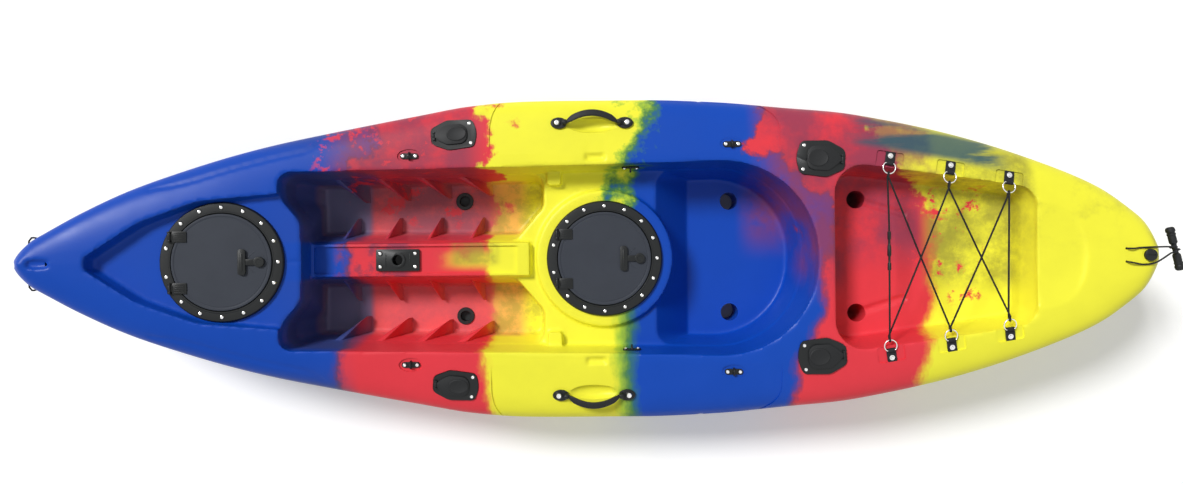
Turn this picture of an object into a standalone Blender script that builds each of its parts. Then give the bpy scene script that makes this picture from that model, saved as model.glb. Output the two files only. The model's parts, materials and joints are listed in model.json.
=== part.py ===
"""A sit-on-top fishing kayak for one paddler, with all its deck fittings.

Metres, +Z up, +X to the bow, +Y to port. The origin is on the floor, under the middle of the hull.
"""
import math

import bmesh
import bpy
from mathutils import Matrix, Vector

# Overall sizes
LENGTH = 2.712
BEAM = 0.782
HULL_WALL = 0.005
FIT = 0.0003            # gap between two pieces that touch
CHORD_HEIGHT = 0.0008   # how far a straight piece of an outline may leave its arc

# The lines of the hull are drawn at this size, and stretch with the overall sizes
LINES_LENGTH = 2.712
LINES_BEAM = 0.782

# Lines: the distance forward of amidships, then the value there
HALF_BEAM_LINE = [(-1.356, 0.050), (-1.331, 0.0745), (-1.304, 0.096), (-1.279, 0.1165), (-1.223, 0.1575),
                  (-1.168, 0.187), (-1.055, 0.235), (-0.944, 0.275), (-0.830, 0.308), (-0.716, 0.334),
                  (-0.600, 0.355), (-0.481, 0.3665), (-0.301, 0.384), (-0.120, 0.391), (0.060, 0.391),
                  (0.179, 0.389), (0.299, 0.3785), (0.417, 0.357), (0.534, 0.3345), (0.650, 0.311),
                  (0.762, 0.286), (0.873, 0.255), (0.984, 0.2175), (1.093, 0.175), (1.203, 0.120),
                  (1.316, 0.055), (1.356, 0.034)]
DECK_LINE = [(-1.356, 0.338), (-1.2, 0.327), (-1.05, 0.318), (-0.8, 0.309), (-0.55, 0.299), (-0.3, 0.283),
             (0.0, 0.276), (0.3, 0.278), (0.6, 0.289), (0.75, 0.302), (0.9, 0.320), (1.06, 0.340),
             (1.2, 0.356), (1.356, 0.374)]
SEAM_LINE = [(-1.356, 0.290), (-1.25, 0.270), (-1.1, 0.250), (-0.9, 0.225), (-0.6, 0.205), (0.0, 0.195),
             (0.6, 0.205), (0.9, 0.235), (1.1, 0.268), (1.25, 0.300), (1.356, 0.330)]
KEEL_LINE = [(-1.356, 0.225), (-1.32, 0.150), (-1.25, 0.090), (-1.15, 0.050), (-1.0, 0.022), (-0.8, 0.006),
             (-0.62, 0.0), (0.62, 0.0), (0.8, 0.006), (1.0, 0.025), (1.15, 0.060), (1.25, 0.110),
             (1.32, 0.190), (1.356, 0.270)]
CROWN_LINE = [(-1.356, 0.012), (-1.0, 0.016), (-0.5, 0.006), (0.5, 0.006), (0.9, 0.016), (1.356, 0.012)]
FULLNESS_LINE = [(-1.356, 1.6), (-1.1, 1.9), (-0.9, 2.3), (-0.6, 2.8), (0.0, 3.0), (0.6, 2.6), (0.9, 2.0),
                 (1.1, 1.6), (1.356, 1.5)]
NOSE_ROUNDING = 0.052   # how far from each tip the plan outline starts to close
DECK_SQUARENESS = 5.0   # how squarely the deck turns down to the seam
KEEL_FLAT_DEPTH = 0.004
TUNNEL_DEPTH = 0.013    # the two shallow tunnels under the hull
TUNNEL_AT = 0.155
TUNNEL_HALF_WIDTH = 0.045
TUNNEL_REACH = 0.95
BOW_SOLID = 0.080       # solid plastic at each tip
STERN_SOLID = 0.035
STATIONS = 30
INNER_STATIONS = 16
BOTTOM_SHARES = [0.0, 0.27, 0.34, 0.40, 0.46, 0.53, 0.68, 0.82, 0.93, 1.0]
DECK_SHARES = [0.98, 0.93, 0.86, 0.76, 0.55, 0.28, 0.0]

# Cockpit and wells
DECK_CLEAR = 0.12       # how far a well's cutter stands above the rim that it cuts
CUT_CLEAR = 0.030       # how far a small cutter stands out of the surface that it cuts
CUT_DEPTH = 0.040       # how far the cutter of a hole reaches through the skin
FORM_SINK = 0.004       # how far a moulded form reaches into the hull under it
PLATFORM_Z = 0.190      # the level of the cockpit between footwells and seat
COCKPIT_RIM_Z = 0.280
FOOTWELL_FLOOR_Z = 0.090
SEAT_FLOOR_Z = 0.098
TANK_RIM_Z = 0.312
TANK_FLOOR_FRONT_Z = 0.180
TANK_FLOOR_SLOPE = 0.115
COCKPIT_FRONT = 0.700
COCKPIT_SHOULDER = 0.747
COCKPIT_AFT = -0.541
COCKPIT_HALF_FRONT = 0.213
COCKPIT_HALF_AFT = 0.238
COCKPIT_CORNER_Y = 0.095     # the front wall draws forward from here
COCKPIT_SHOULDER_Y = 0.150   # to here
COCKPIT_RADII = [0.03, 0.02, 0.04, 0.226]
COCKPIT_WALL_LEAN = 0.010
COCKPIT_SHOULDER_LEAN = 0.025
COCKPIT_AFT_LEAN = 0.014
COCKPIT_FRONT_LEAN = 0.003
FOOTWELL_AFT = 0.118
FOOTWELL_HEEL = (0.190, 0.130)    # where the aft wall turns to follow the mound, and how far out
FOOTWELL_HALF_FRONT = 0.202
FOOTWELL_HALF_AFT = 0.214
FOOTWELL_RADII = [0.012, 0.035, 0.03, 0.03, 0.03]
FOOTWELL_LEANS = [0.004, 0.017, 0.010, 0.010, 0.022]
FOOTWELL_CONSOLE_GAP = 0.004
FOOTWELL_FRONT_REACH = 0.001
FOOTWELL_RIM_LIFT = 0.002
SEAT_FRONT = -0.160
SEAT_HALF_FRONT = 0.216
SEAT_HALF_AFT = 0.226
SEAT_BACK_MARGIN = 0.0155
SEAT_RADII = [0.035, 0.212]
SEAT_WALL_LEAN = 0.016
SEAT_FRONT_SLOPE = 0.090
SEAT_RIM_LIFT = 0.001
TANK_FRONT = -0.580
TANK_AFT = -1.052
TANK_HALF_FRONT = 0.232
TANK_HALF_AFT = 0.160
TANK_RADII = [0.070, 0.050]
TANK_SIDE_LEAN = 0.018
TANK_AFT_LEAN = 0.022
TANK_FRONT_LEAN = 0.012
CONSOLE_HALF_WIDTH = 0.042
CONSOLE_TOP_Z = 0.212
CONSOLE_AFT = 0.152
CONSOLE_CORNER = 0.008
CONSOLE_PANEL_DEPTH = 0.006
CONSOLE_PANEL_CORNER = 0.004
CONSOLE_PANEL_MARGINS = (0.010, 0.033, 0.008)   # from the console's front, aft end and sides
MOUND_RADIUS = 0.169
MOUND_TOP_Z = 0.206
MOUND_FLARE = 0.004
RECESS_APEX = 1.176
RECESS_APEX_HALF = 0.014
RECESS_SHOULDER = (1.062, 0.092)
RECESS_SIDE_FRONT = 0.930
RECESS_SIDE_AFT = 0.680
RECESS_SIDE_GAP = 0.002      # from the hatch's flange to the recess's side, ahead of the hatch
RECESS_SIDE_SPREAD = 0.026   # and how much further out the side is behind the hatch
RECESS_RADII = [0.012, 0.20, 0.12, 0.02]
RECESS_LEAN = 0.006
RECESS_RIM_Z = 0.345
RECESS_TILT = math.radians(5.5)

# Foot rests moulded into the footwell walls
REST_COUNT = 4
REST_FIRST_X = 0.565
REST_PITCH = 0.105
REST_TIP_Y = 0.137
REST_LENGTH = 0.078
REST_HEIGHT = 0.092
REST_CREST = 0.014
REST_CREST_ENDS = (0.78, 0.50)   # where the crest starts and ends on the wall, as shares of the length
REST_CREST_POINT = 0.56          # and where it stands off the wall
REST_SINK = 0.003
REST_WALL_REACH = 0.001
INNER_REST_FIRST_X = 0.602
INNER_REST_PITCH = 0.108
INNER_REST_TIP_Y = 0.110
INNER_REST_LENGTH = 0.034
INNER_REST_HEIGHT = 0.060
INNER_REST_CREST = 0.008
INNER_REST_WALL_REACH = 0.002
KNEE_STOP_X = 0.0925
KNEE_STOP_LENGTH = 0.034
KNEE_STOP_WIDTH = 0.038
KNEE_STOP_HEIGHT = 0.022
KNEE_STOP_INSET = 0.014
KNEE_STOP_CORNER = 0.006

# Round hatches
HATCH_SIDES = 36
MOUND_SIDES = 48
HATCH_FLANGE_RADIUS = 0.144
HATCH_HOLE_RADIUS = 0.108
HATCH_OPENING_RADIUS = 0.100
HATCH_FLANGE_THICK = 0.010
HATCH_COLLAR_DEPTH = 0.024
HATCH_SEAT_Z = 0.004
HATCH_LID_RADIUS = 0.1155
HATCH_LID_THICK = 0.0050
HATCH_LID_GAP = 0.0015
HATCH_SCREW_CIRCLE = 0.1305
HATCH_SCREW_COUNT = 15
HATCH_SCREW_PITCH = math.radians(22.5)
HATCH_LAST_SCREWS_AT = math.radians(165.0)
HATCH_COLLAR_CLEARANCE = 0.001
HATCH_EDGE_TAPER = 0.004
SMALL_CHAMFER = 0.001
GASKET_RADIUS = 0.108
GASKET_WIDTH = 0.006
GASKET_THICK = 0.0025
HINGE_AT = 0.1183
HINGE_SPREAD = 0.061
HINGE_KNUCKLE_RADIUS = 0.0042
HINGE_PIN_RADIUS = 0.0016
HINGE_PIN_CLEARANCE = 0.0001
HINGE_SWING_CLEARANCE = 0.0006  # from the leaf's end to the corners of the ears that it swings past
HINGE_LEAF_WIDTH = 0.026
HINGE_LEAF_REACH = 0.039
HINGE_LEAF_THICK = 0.0022
HINGE_LEAF_SINK = 0.0008
HINGE_LIFT = 0.0004     # a knuckle's underside over the surface that it folds down to
HINGE_BORE_HALF = 0.020
EAR_SINK = 0.001
LID_KNUCKLE_LENGTH = 0.0156
EAR_LENGTH = 0.0047
LATCH_AT = 0.0872
LATCH_BAR_OFFSET = 0.0396
LATCH_BAR_LENGTH = 0.062
LATCH_BAR_WIDTH = 0.018
LATCH_STEM_WIDTH = 0.014
LATCH_THICK = 0.0055
LATCH_BOSS_RADIUS = 0.0125
LATCH_SHAFT_RADIUS = 0.0050
LATCH_RUNNING_CLEARANCE = 0.0004
LATCH_TONGUE_LENGTH = 0.0113
LATCH_TONGUE_WIDTH = 0.008
LATCH_TONGUE_LEVELS = (0.0055, 0.0025)   # its underside and top, below the lid
LATCH_SHAFT_REACH = 0.006
LATCH_SHAFT_SINK = 0.001
LATCH_BAR_CORNER = 0.007
LATCH_STEM_CORNER = 0.002
LATCH_STEM_SHARE = 0.8
LATCH_SCREW_CLEARANCE = 0.0008
BOW_HATCH_X = 0.880
BOW_HATCH_Z = 0.300
CENTRE_HATCH_X = -0.032
SCREW_HEAD_RADIUS = 0.0042
SCREW_HEAD_THICK = 0.0022
SCREW_HEAD_SINK = 0.001
SCREW_HEAD_TAPER = 0.6
SCREW_HEAD_SIDES = 6

# Flush rod holders: a slanted tube under a flange, and a hinged rubber cap
ROD_TUBE_RADIUS = 0.024
ROD_BORE_RADIUS = 0.021
ROD_TUBE_CLEARANCE = 0.0015
ROD_TUBE_LENGTH = 0.190
ROD_SLANT = math.radians(30.0)
ROD_FLANGE_THICK = 0.005
ROD_CAP_THICK = 0.004
ROD_SCREW_BACK = 0.34   # the screws' place, as shares of the flange's length and width
ROD_SCREW_OUT = 0.33
ROD_POCKET_CLEARANCE = 0.0012
ROD_CUT_DEPTH = 0.036
ROD_TUBE_FLOOR = 0.004
ROD_TUBE_SIDES = 18
ROD_TUBE_SINK = 0.001
ROD_HINGE_INSET = 0.006
ROD_EAR_WIDTH = 0.005
ROD_CAP_LENGTH_SHARE = 0.72
ROD_CAP_WIDTH_SHARE = 0.66
ROD_CAP_NECK = 0.0045            # distances back from the cap's hinge
ROD_CAP_THROAT = (0.013, 0.014)  # and half the width there
ROD_CAP_SHOULDER = 0.032
ROD_CAP_RADII = [0.001, 0.006, 0.014, 0.020]
ROD_STRAP_RADIUS = 0.0032
ROD_STRAP_LENGTH = 0.022
# Corners of the holder's plate: shares of its half length and half width, and the radius
ROD_PLATE_CORNERS = [(1.0, -0.52, 0.016), (1.0, 0.52, 0.016), (0.30, 1.0, 0.030), (-0.80, 0.90, 0.020),
                     (-1.0, 0.0, 0.060), (-0.80, -0.90, 0.020), (0.30, -1.0, 0.030)]
REAR_HOLDER_X = -0.547
REAR_HOLDER_Y = 0.236
REAR_HOLDER_LENGTH = 0.116
REAR_HOLDER_WIDTH = 0.088
REAR_HOLDER_YAW = math.radians(4.0)
FRONT_HOLDER_X = 0.329
FRONT_HOLDER_Y = 0.303
FRONT_HOLDER_LENGTH = 0.112
FRONT_HOLDER_WIDTH = 0.074
FRONT_HOLDER_YAW = math.radians(-5.0)

# Pad eyes, strap eyes, handles and tie-downs
PAD_EYE_LENGTH = 0.044
PAD_EYE_WIDTH = 0.014
PAD_EYE_THICK = 0.0030
PAD_EYE_SCREW_OUT = 0.015
PAD_EYE_ARCH = 0.0085
PAD_EYE_WIRE = 0.0022
PAD_EYE_END_SHARE = 0.49         # the plate's end radius as a share of its width
PAD_EYE_ARCH_RISE = 1.3          # the arch's height as a share of its half width
PAD_EYE_ARCH_SINK = 0.002
PAD_RECESS_LENGTH = 0.058
PAD_RECESS_WIDTH = 0.034
PAD_RECESS_DEPTH = 0.003
FRONT_EYE = (0.4375, 0.2515)
REAR_EYE = (-0.340, 0.274)
STRAP_EYE_X = -0.097
STRAP_EYE_Z = 0.240
STRAP_EYE_CLEARANCE = 0.0004
HANDLE_X = -0.003
HANDLE_HALF_SPAN = 0.080
HANDLE_Y = 0.329
HANDLE_BOW = 0.019
HANDLE_RISE = 0.012
HANDLE_BAND_WIDTH = 0.016
HANDLE_BAND_THICK = 0.007
HANDLE_MOUNT_LENGTH = 0.040
HANDLE_MOUNT_WIDTH = 0.028
HANDLE_MOUNT_THICK = 0.0045
HANDLE_SCREW_OUT = 0.005
HANDLE_WASHER_RADIUS = 0.0105
HANDLE_WASHER_THICK = 0.003
HANDLE_KNUCKLE_RADIUS = 0.0065
HANDLE_KNUCKLE_AT = 0.0185
HANDLE_PIN_RADIUS = 0.0035
HANDLE_PIN_REACH = 0.0065
HANDLE_PIN_ROOT = 0.004          # how far a pin is rooted in the band
HANDLE_HOLE_DEPTH = 0.0075
HANDLE_KNUCKLE_LENGTH = 0.009
HANDLE_KNUCKLE_SINK = 0.001
HANDLE_HOLE_REACH = 0.004
HANDLE_PLAN_CORNER = 0.01
HANDLE_POCKET_CLEARANCE = 0.0015
HANDLE_SCOOP_LENGTH = 0.126
HANDLE_SCOOP_WIDTH = 0.040
HANDLE_SCOOP_DEPTH = 0.016
HANDLE_SCOOP_SHIFT = 0.006
# Sections of the scoop from its floor up: shares of its length and width, then of its depth
HANDLE_SCOOP_SECTIONS = [(0.45, 1.0), (0.85, 0.55), (1.0, 0.0)]
HANDLE_SCOOP_FLARE = 1.15
HANDLE_SECTIONS = 10
HANDLE_BOW_FULLNESS = 0.8
HANDLE_END_SHARE = 0.55          # the band's width at its ends
HANDLE_END_REACH = 5.0           # and how quickly it widens from there
HANDLE_EDGE_DROP = 0.4
HANDLE_FLAT_SHARE = 0.6
TIE_STATIONS = [(-0.713, 0.240), (-0.8535, 0.216), (-0.990, 0.191)]
TIE_TAB_WIDTH = 0.022
TIE_TAB_THICK = 0.0035
TIE_TAB_TAIL = 0.010             # from the screw to the tab's outboard end
TIE_TAB_CORNER = 0.002
TIE_FOLD_OVERLAP = 0.8
TIE_EYE_AT = 0.019      # from the screw to the fold that holds the ring
TIE_FOLD_RADIUS = 0.0046
TIE_FOLD_LENGTH = 0.015
TIE_RECESS_LENGTH = 0.065
TIE_RECESS_WIDTH = 0.038
TIE_RECESS_SHIFT = 0.009
TIE_RECESS_DEPTH = 0.003
TIE_RECESS_CORNER = 0.006
RING_RADIUS = 0.0145
RING_OFFSET = 0.0105    # from the ring's straight side to the middle of its arc
RING_WIRE = 0.0015
RING_LIFT = 0.003       # the wire's middle stands this far above the deck
RING_HOLE_CLEARANCE = 0.0008
BUNGEE_RADIUS = 0.0022
CONNECTOR_Y = -0.014
CONNECTOR_LENGTH = 0.092
CONNECTOR_SLEEVE = 0.0042
CONNECTOR_NECK = 0.0028
# The connector's profile: shares of its half length, and the radius there
CONNECTOR_PROFILE = [(1.0, 0.0), (-1.0, 0.0), (-1.0, CONNECTOR_SLEEVE), (-0.62, CONNECTOR_SLEEVE),
                     (-0.56, CONNECTOR_NECK), (-0.34, CONNECTOR_NECK), (-0.26, CONNECTOR_SLEEVE),
                     (0.22, CONNECTOR_SLEEVE * 1.1), (0.30, CONNECTOR_NECK), (0.60, CONNECTOR_NECK),
                     (0.66, CONNECTOR_SLEEVE), (1.0, CONNECTOR_SLEEVE)]
BUNGEE_RING_CLEARANCE = 0.0004
# The cord's way round a ring's wire, in turn radii inboard and up
BUNGEE_TURN = [(2.2, 1.0), (0.0, 1.0), (-0.72, 0.70), (-1.0, 0.0), (-0.72, -0.70), (0.0, -1.0), (2.2, -1.0)]
BUNGEE_STRAIGHT = 0.02           # the cord's straight run out of each end of the connector
CROSSING_RISE = 0.0030  # each of two cords that cross gives way by this much

# Console base, plugs and toggle
BASE_X = 0.482
BASE_LENGTH = 0.108
BASE_WIDTH = 0.054
BASE_THICK = 0.007
BASE_SCREW_INSET = 0.0105
BASE_SOCKET_RADIUS = 0.013
BASE_RIM_RADIUS = 0.019
BASE_RIM_HEIGHT = 0.004
BASE_SOCKET_DEPTH = 0.030
BASE_SOCKET_FLOOR = 0.003
BASE_HOLE_CLEARANCE = 0.001
BASE_CORNER = 0.004
FOOT_SCUPPER = (0.331, 0.150)
SEAT_SCUPPER = (-0.359, 0.145)
TANK_SCUPPER = (-0.664, 0.142)
FOOT_SCUPPER_RADIUS = 0.0170
SCUPPER_RADIUS = 0.0225
PLUG_FLANGE_RADIUS = 0.0225
PLUG_FLANGE_THICK = 0.004
PLUG_LENGTH = 0.045
PLUG_CLEARANCE = 0.0006
PLUG_TAPER = 0.86
PLUG_EDGE = 0.002
PLUG_DISH = (0.8, 0.74, 0.0015)  # the dish's rim and floor as shares of the shank, and its depth
DRAIN_X = -1.302
DRAIN_HEAD_RADIUS = 0.014
DRAIN_HEAD_THICK = 0.007
DRAIN_SHANK_RADIUS = 0.008
DRAIN_SHANK_LENGTH = 0.016
DRAIN_SEAL_THICK = 0.0022
DRAIN_CLEARANCE = 0.0004
DRAIN_PAD_MARGIN = 0.0028        # the flat spot round the head
DRAIN_SEAL_GAP = 0.0002
DRAIN_SEAL_INSET = 0.001
DRAIN_TAPER = (0.9, 0.002)       # the shank's end: its share of the radius, and the taper's length
DRAIN_HEAD_CHAMFER = 0.0015
DRAIN_SLOT = (1.3, 0.004, 0.003) # length as a share of the head's radius, width, depth
DRAIN_SLOT_CORNER = 0.0005
TOGGLE_OUT = 0.020      # from the hull's tip to the middle of the toggle
TOGGLE_Y = -0.0135
TOGGLE_DROP = 0.026     # from the deck at the tip down to the toggle
TOGGLE_WAIST_HALF = 0.0110
TOGGLE_LENGTH = 0.104
TOGGLE_YAW = math.radians(14.0)
TOGGLE_END_RADIUS = 0.0105
TOGGLE_GRIP_RADIUS = 0.0090
TOGGLE_WAIST_RADIUS = 0.0058
TOGGLE_WRAP_CLEARANCE = 0.0018
# The toggle's swollen end: the distance from its end face, and shares of its end radius
TOGGLE_END = [(0.0, 0.0), (0.0, 0.62), (0.003, 0.93), (0.008, 1.0), (0.016, 0.84)]
TOGGLE_WAIST_TAPER = 1.4
CORD_RADIUS = 0.0020
CORD_LIFT = 0.0014      # the cord's underside over the curved deck
CORD_HOLE_CLEARANCE = 0.0008
CORD_TUCK = 0.006       # how far a cord's end reaches into its hole
CORD_HOLE_DEPTH = 0.016
CORD_HOLE_OUT = 0.020
BOW_CORD_LIFT = 0.012   # the bow cord's holes, over the seam
STERN_CORD_HOLE = (-1.250, 0.0155)
BOW_CORD_X = 1.322
CORD_SPACING = (0.0062, 0.0115)  # between the points of the stern cord, and of the bow cord
# The stern cord's way, each point as the distance along, the distance across and the lift over the deck:
# aft from its port hole, on to the tip, and over the tip
STERN_CORD_OUT = [(0.003, 0.0008, 0.0055), (0.014, 0.003, 0.006), (0.036, 0.0065, 0.001),
                  (0.062, 0.003, 0.001), (0.084, -0.010, 0.001)]
STERN_CORD_TO_TIP = [(0.010, 0.010, 0.002)]
STERN_CORD_OVER = (0.002, 0.006, 0.002)
STERN_CORD_TURN = (math.radians(70.0), math.radians(290.0))   # the start and the sweep round the waist
STERN_CORD_TURN_POINTS = 8
STERN_CORD_TURN_RISE = 0.007     # how far the turn travels along the toggle
# and up from the waist, back over the tip and forward to its starboard hole
STERN_CORD_UP = [(0.0006, 0.0040, 0.013), (0.0036, 0.0046, 0.0020), (0.001, 0.0050, 0.0026)]
STERN_CORD_FROM_TIP = [(0.012, 0.0052, 0.002), (0.024, 0.0052, 0.001)]
STERN_CORD_IN = [(0.052, 0.0025, 0.001), (0.025, 0.0012, 0.001), (0.013, 0.0, 0.006), (0.003, 0.0, 0.0055)]
# The bow cord's fall from its hole: distances out from the nose, and down
BOW_CORD_FALL = [(0.006, 0.0006), (0.0135, 0.010), (0.0125, 0.030), (0.006, 0.070), (-0.010, 0.110)]
BOW_CORD_UNDER = (0.030, 0.006)
BOW_CORD_AFT = 0.002
BOW_CORD_DROP = 0.020

# Colours
BLUE = (0.016, 0.085, 0.56, 1.0)
BLACK = (0.012, 0.012, 0.014, 1.0)
DARK_GREY = (0.030, 0.032, 0.036, 1.0)
STEEL = (0.62, 0.62, 0.60, 1.0)


def clear_scene():
    """Empty the file of its objects."""
    for obj in list(bpy.data.objects):
        bpy.data.objects.remove(obj, do_unlink=True)


def material(name, colour, roughness, metallic=0.0):
    """A plain material of one colour."""
    mat = bpy.data.materials.new(name)
    mat.use_nodes = True
    shader = mat.node_tree.nodes["Principled BSDF"]
    shader.inputs["Base Color"].default_value = colour
    shader.inputs["Roughness"].default_value = roughness
    shader.inputs["Metallic"].default_value = metallic
    return mat


def collection(name):
    """A new collection in the scene."""
    group = bpy.data.collections.new(name)
    bpy.context.scene.collection.children.link(group)
    return group


# Helpers for meshes


def to_object(bm, name, group, mat=None, origin=None):
    """Make an object of a bmesh, with its normals outwards and its origin at a point."""
    bmesh.ops.recalc_face_normals(bm, faces=bm.faces)
    mesh = bpy.data.meshes.new(name)
    bm.to_mesh(mesh)
    bm.free()
    obj = bpy.data.objects.new(name, mesh)
    group.objects.link(obj)
    if origin:
        mesh.transform(Matrix.Translation(-origin))
        obj.location = origin
    if mat:
        mesh.materials.append(mat)
        mesh.shade_smooth()
        mesh.set_sharp_from_angle(angle=math.radians(35.0))
    else:
        obj.hide_render = True
        obj.display_type = "WIRE"
    return obj


def boolean(obj, other, operation):
    """Cut, join or trim one object by another, with a live modifier."""
    step = obj.modifiers.new(f"{operation.lower()} {other.name}", "BOOLEAN")
    step.operation = operation
    step.object = other
    step.solver = "EXACT"


def loft(bm, rings):
    """Join rings of points into one closed skin with a cap on each end."""
    loops = [[bm.verts.new(point) for point in ring] for ring in rings]
    for near, far in zip(loops, loops[1:]):
        for i in range(len(near)):
            j = (i + 1) % len(near)
            bm.faces.new((near[i], near[j], far[j], far[i]))
    bm.faces.new(list(reversed(loops[0])))
    bm.faces.new(loops[-1])


def prism(bm, frame, outline, low, high):
    """A straight prism over a flat outline, between two heights in a frame."""
    rings = [[frame @ Vector((x, y, z)) for x, y in outline] for z in (low, high)]
    loft(bm, rings)


def rod(bm, start, end, radius, sides, end_radius=None):
    """A straight round bar, or a cone, between two points."""
    start = Vector(start)
    end = Vector(end)
    turn = (end - start).to_track_quat("Z", "Y").to_matrix().to_4x4()
    frame = Matrix.Translation((start + end) / 2) @ turn
    far = radius if end_radius is None else end_radius
    bmesh.ops.create_cone(bm, cap_ends=True, segments=sides, radius1=radius, radius2=far,
                          depth=(end - start).length, matrix=frame)


def turned(bm, frame, profile, sides):
    """A solid or ring turned about a frame's Z axis from a closed profile of radii and heights."""
    rings = []
    for step in range(sides):
        angle = 2.0 * math.pi * step / sides
        ring = [frame @ Vector((r * math.cos(angle), r * math.sin(angle), z)) for r, z in profile]
        rings.append([bm.verts.new(point) for point in ring])
    count = len(profile)
    for step in range(sides):
        near = rings[step]
        far = rings[(step + 1) % sides]
        for i in range(count):
            j = (i + 1) % count
            if profile[i][0] > 0.0 or profile[j][0] > 0.0:
                bm.faces.new((near[i], near[j], far[j], far[i]))
    bmesh.ops.remove_doubles(bm, verts=bm.verts, dist=0.000001)


def arc_pieces(radius, sweep):
    """How many straight pieces an arc takes."""
    if radius <= CHORD_HEIGHT:
        return 1
    return max(1, math.ceil(abs(sweep) / (2.0 * math.acos(1.0 - CHORD_HEIGHT / radius))))


def outline_of(corners, insets=0.0):
    """A rounded outline. Corners run anticlockwise as x, y, radius, and each edge moves in by its inset."""
    count = len(corners)
    if not isinstance(insets, (list, tuple)):
        insets = [insets] * count
    moved = []
    for i in range(count):
        here = Vector(corners[i][:2])
        before = (here - Vector(corners[i - 1][:2])).normalized()
        after = (Vector(corners[(i + 1) % count][:2]) - here).normalized()
        inward_before = Vector((-before.y, before.x)) * insets[i - 1]
        inward_after = Vector((-after.y, after.x)) * insets[i]
        turn = before.cross(after)
        if abs(turn) < 1e-6:
            moved.append((here + inward_after, corners[i][2], turn))
            continue
        slide = (here + inward_after - here - inward_before).cross(after) / turn
        radius = corners[i][2] - math.copysign((insets[i - 1] + insets[i]) / 2.0, turn)
        moved.append((here + inward_before + before * slide, max(radius, 0.002), turn))
    points = []
    for i in range(count):
        here, radius, _ = moved[i]
        towards = (moved[i - 1][0] - here)
        away = (moved[(i + 1) % count][0] - here)
        half = towards.angle(away) / 2.0
        reach = min(radius / math.tan(half), towards.length * 0.49, away.length * 0.49)
        radius = reach * math.tan(half)
        centre = here + (towards.normalized() + away.normalized()).normalized() * radius / math.sin(half)
        first = here + towards.normalized() * reach - centre
        last = here + away.normalized() * reach - centre
        start = math.atan2(first.y, first.x)
        sweep = math.atan2(last.y, last.x) - start
        sweep = (sweep + math.pi) % (2.0 * math.pi) - math.pi
        pieces = arc_pieces(corners[i][2], sweep)
        for step in range(pieces + 1):
            angle = start + sweep * step / pieces
            points.append((centre.x + radius * math.cos(angle), centre.y + radius * math.sin(angle)))
    return points


def both_sides(corners):
    """The corners of a symmetric outline from those on its port side, bow to stern."""
    return corners + [(x, -y, radius) for x, y, radius in reversed(corners)]


def mirrored(corners):
    """The same outline on the other side of the hull."""
    return [(x, -y, radius) for x, y, radius in reversed(corners)]


def oval(length, width, steps=12):
    """An ellipse about its own centre."""
    turns = [2.0 * math.pi * i / steps for i in range(steps)]
    return [(length / 2.0 * math.cos(a), width / 2.0 * math.sin(a)) for a in turns]


def slab(length, width, radius):
    """A rectangle with round corners about its own centre."""
    x = length / 2.0
    y = width / 2.0
    return outline_of([(x, -y, radius), (x, y, radius), (-x, y, radius), (-x, -y, radius)])


def smooth(points, spacing):
    """Points at an even spacing on a smooth curve through the given ones."""
    points = [Vector(p) for p in points]
    ends = [points[0] * 2 - points[1]] + points + [points[-1] * 2 - points[-2]]
    dense = []
    for a, b, c, d in zip(ends, ends[1:], ends[2:], ends[3:]):
        for step in range(24):
            t = step / 24.0
            dense.append(0.5 * (2 * b + (c - a) * t + (2 * a - 5 * b + 4 * c - d) * t ** 2
                                + (3 * b - a - 3 * c + d) * t ** 3))
    dense.append(points[-1])
    total = sum((q - p).length for p, q in zip(dense, dense[1:]))
    count = max(2, round(total / spacing))
    result = [dense[0]]
    run = 0.0
    for p, q in zip(dense, dense[1:]):
        length = (q - p).length
        while len(result) < count and run + length >= total * len(result) / count:
            share = (total * len(result) / count - run) / length
            result.append(p.lerp(q, share))
        run += length
    result.append(dense[-1])
    return result


def tube(name, points, radius, group, mat, resolution=2, as_mesh=False):
    """A round cord or wire along points, with closed ends."""
    curve = bpy.data.curves.new(name, "CURVE")
    curve.dimensions = "3D"
    curve.bevel_depth = radius
    curve.bevel_resolution = resolution
    curve.use_fill_caps = True
    spline = curve.splines.new("POLY")
    spline.points.add(len(points) - 1)
    for point, place in zip(spline.points, points):
        point.co = (*place, 1.0)
    obj = bpy.data.objects.new(name, curve)
    group.objects.link(obj)
    curve.materials.append(mat)
    if not as_mesh:
        return obj
    bpy.context.view_layer.update()
    evaluated = obj.evaluated_get(bpy.context.evaluated_depsgraph_get())
    mesh = bpy.data.meshes.new_from_object(evaluated)
    bm = bmesh.new()
    bm.from_mesh(mesh)
    bmesh.ops.remove_doubles(bm, verts=bm.verts, dist=0.00002)
    bm.to_mesh(mesh)
    bm.free()
    bpy.data.objects.remove(obj, do_unlink=True)
    solid = bpy.data.objects.new(name, mesh)
    group.objects.link(solid)
    return solid


# Lines of the hull


def forward(x):
    """A distance forward on the lines plan, at the real length."""
    return x * LENGTH / LINES_LENGTH


def aside(y):
    """A distance to the side on the lines plan, at the real beam."""
    return y * BEAM / LINES_BEAM


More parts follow.
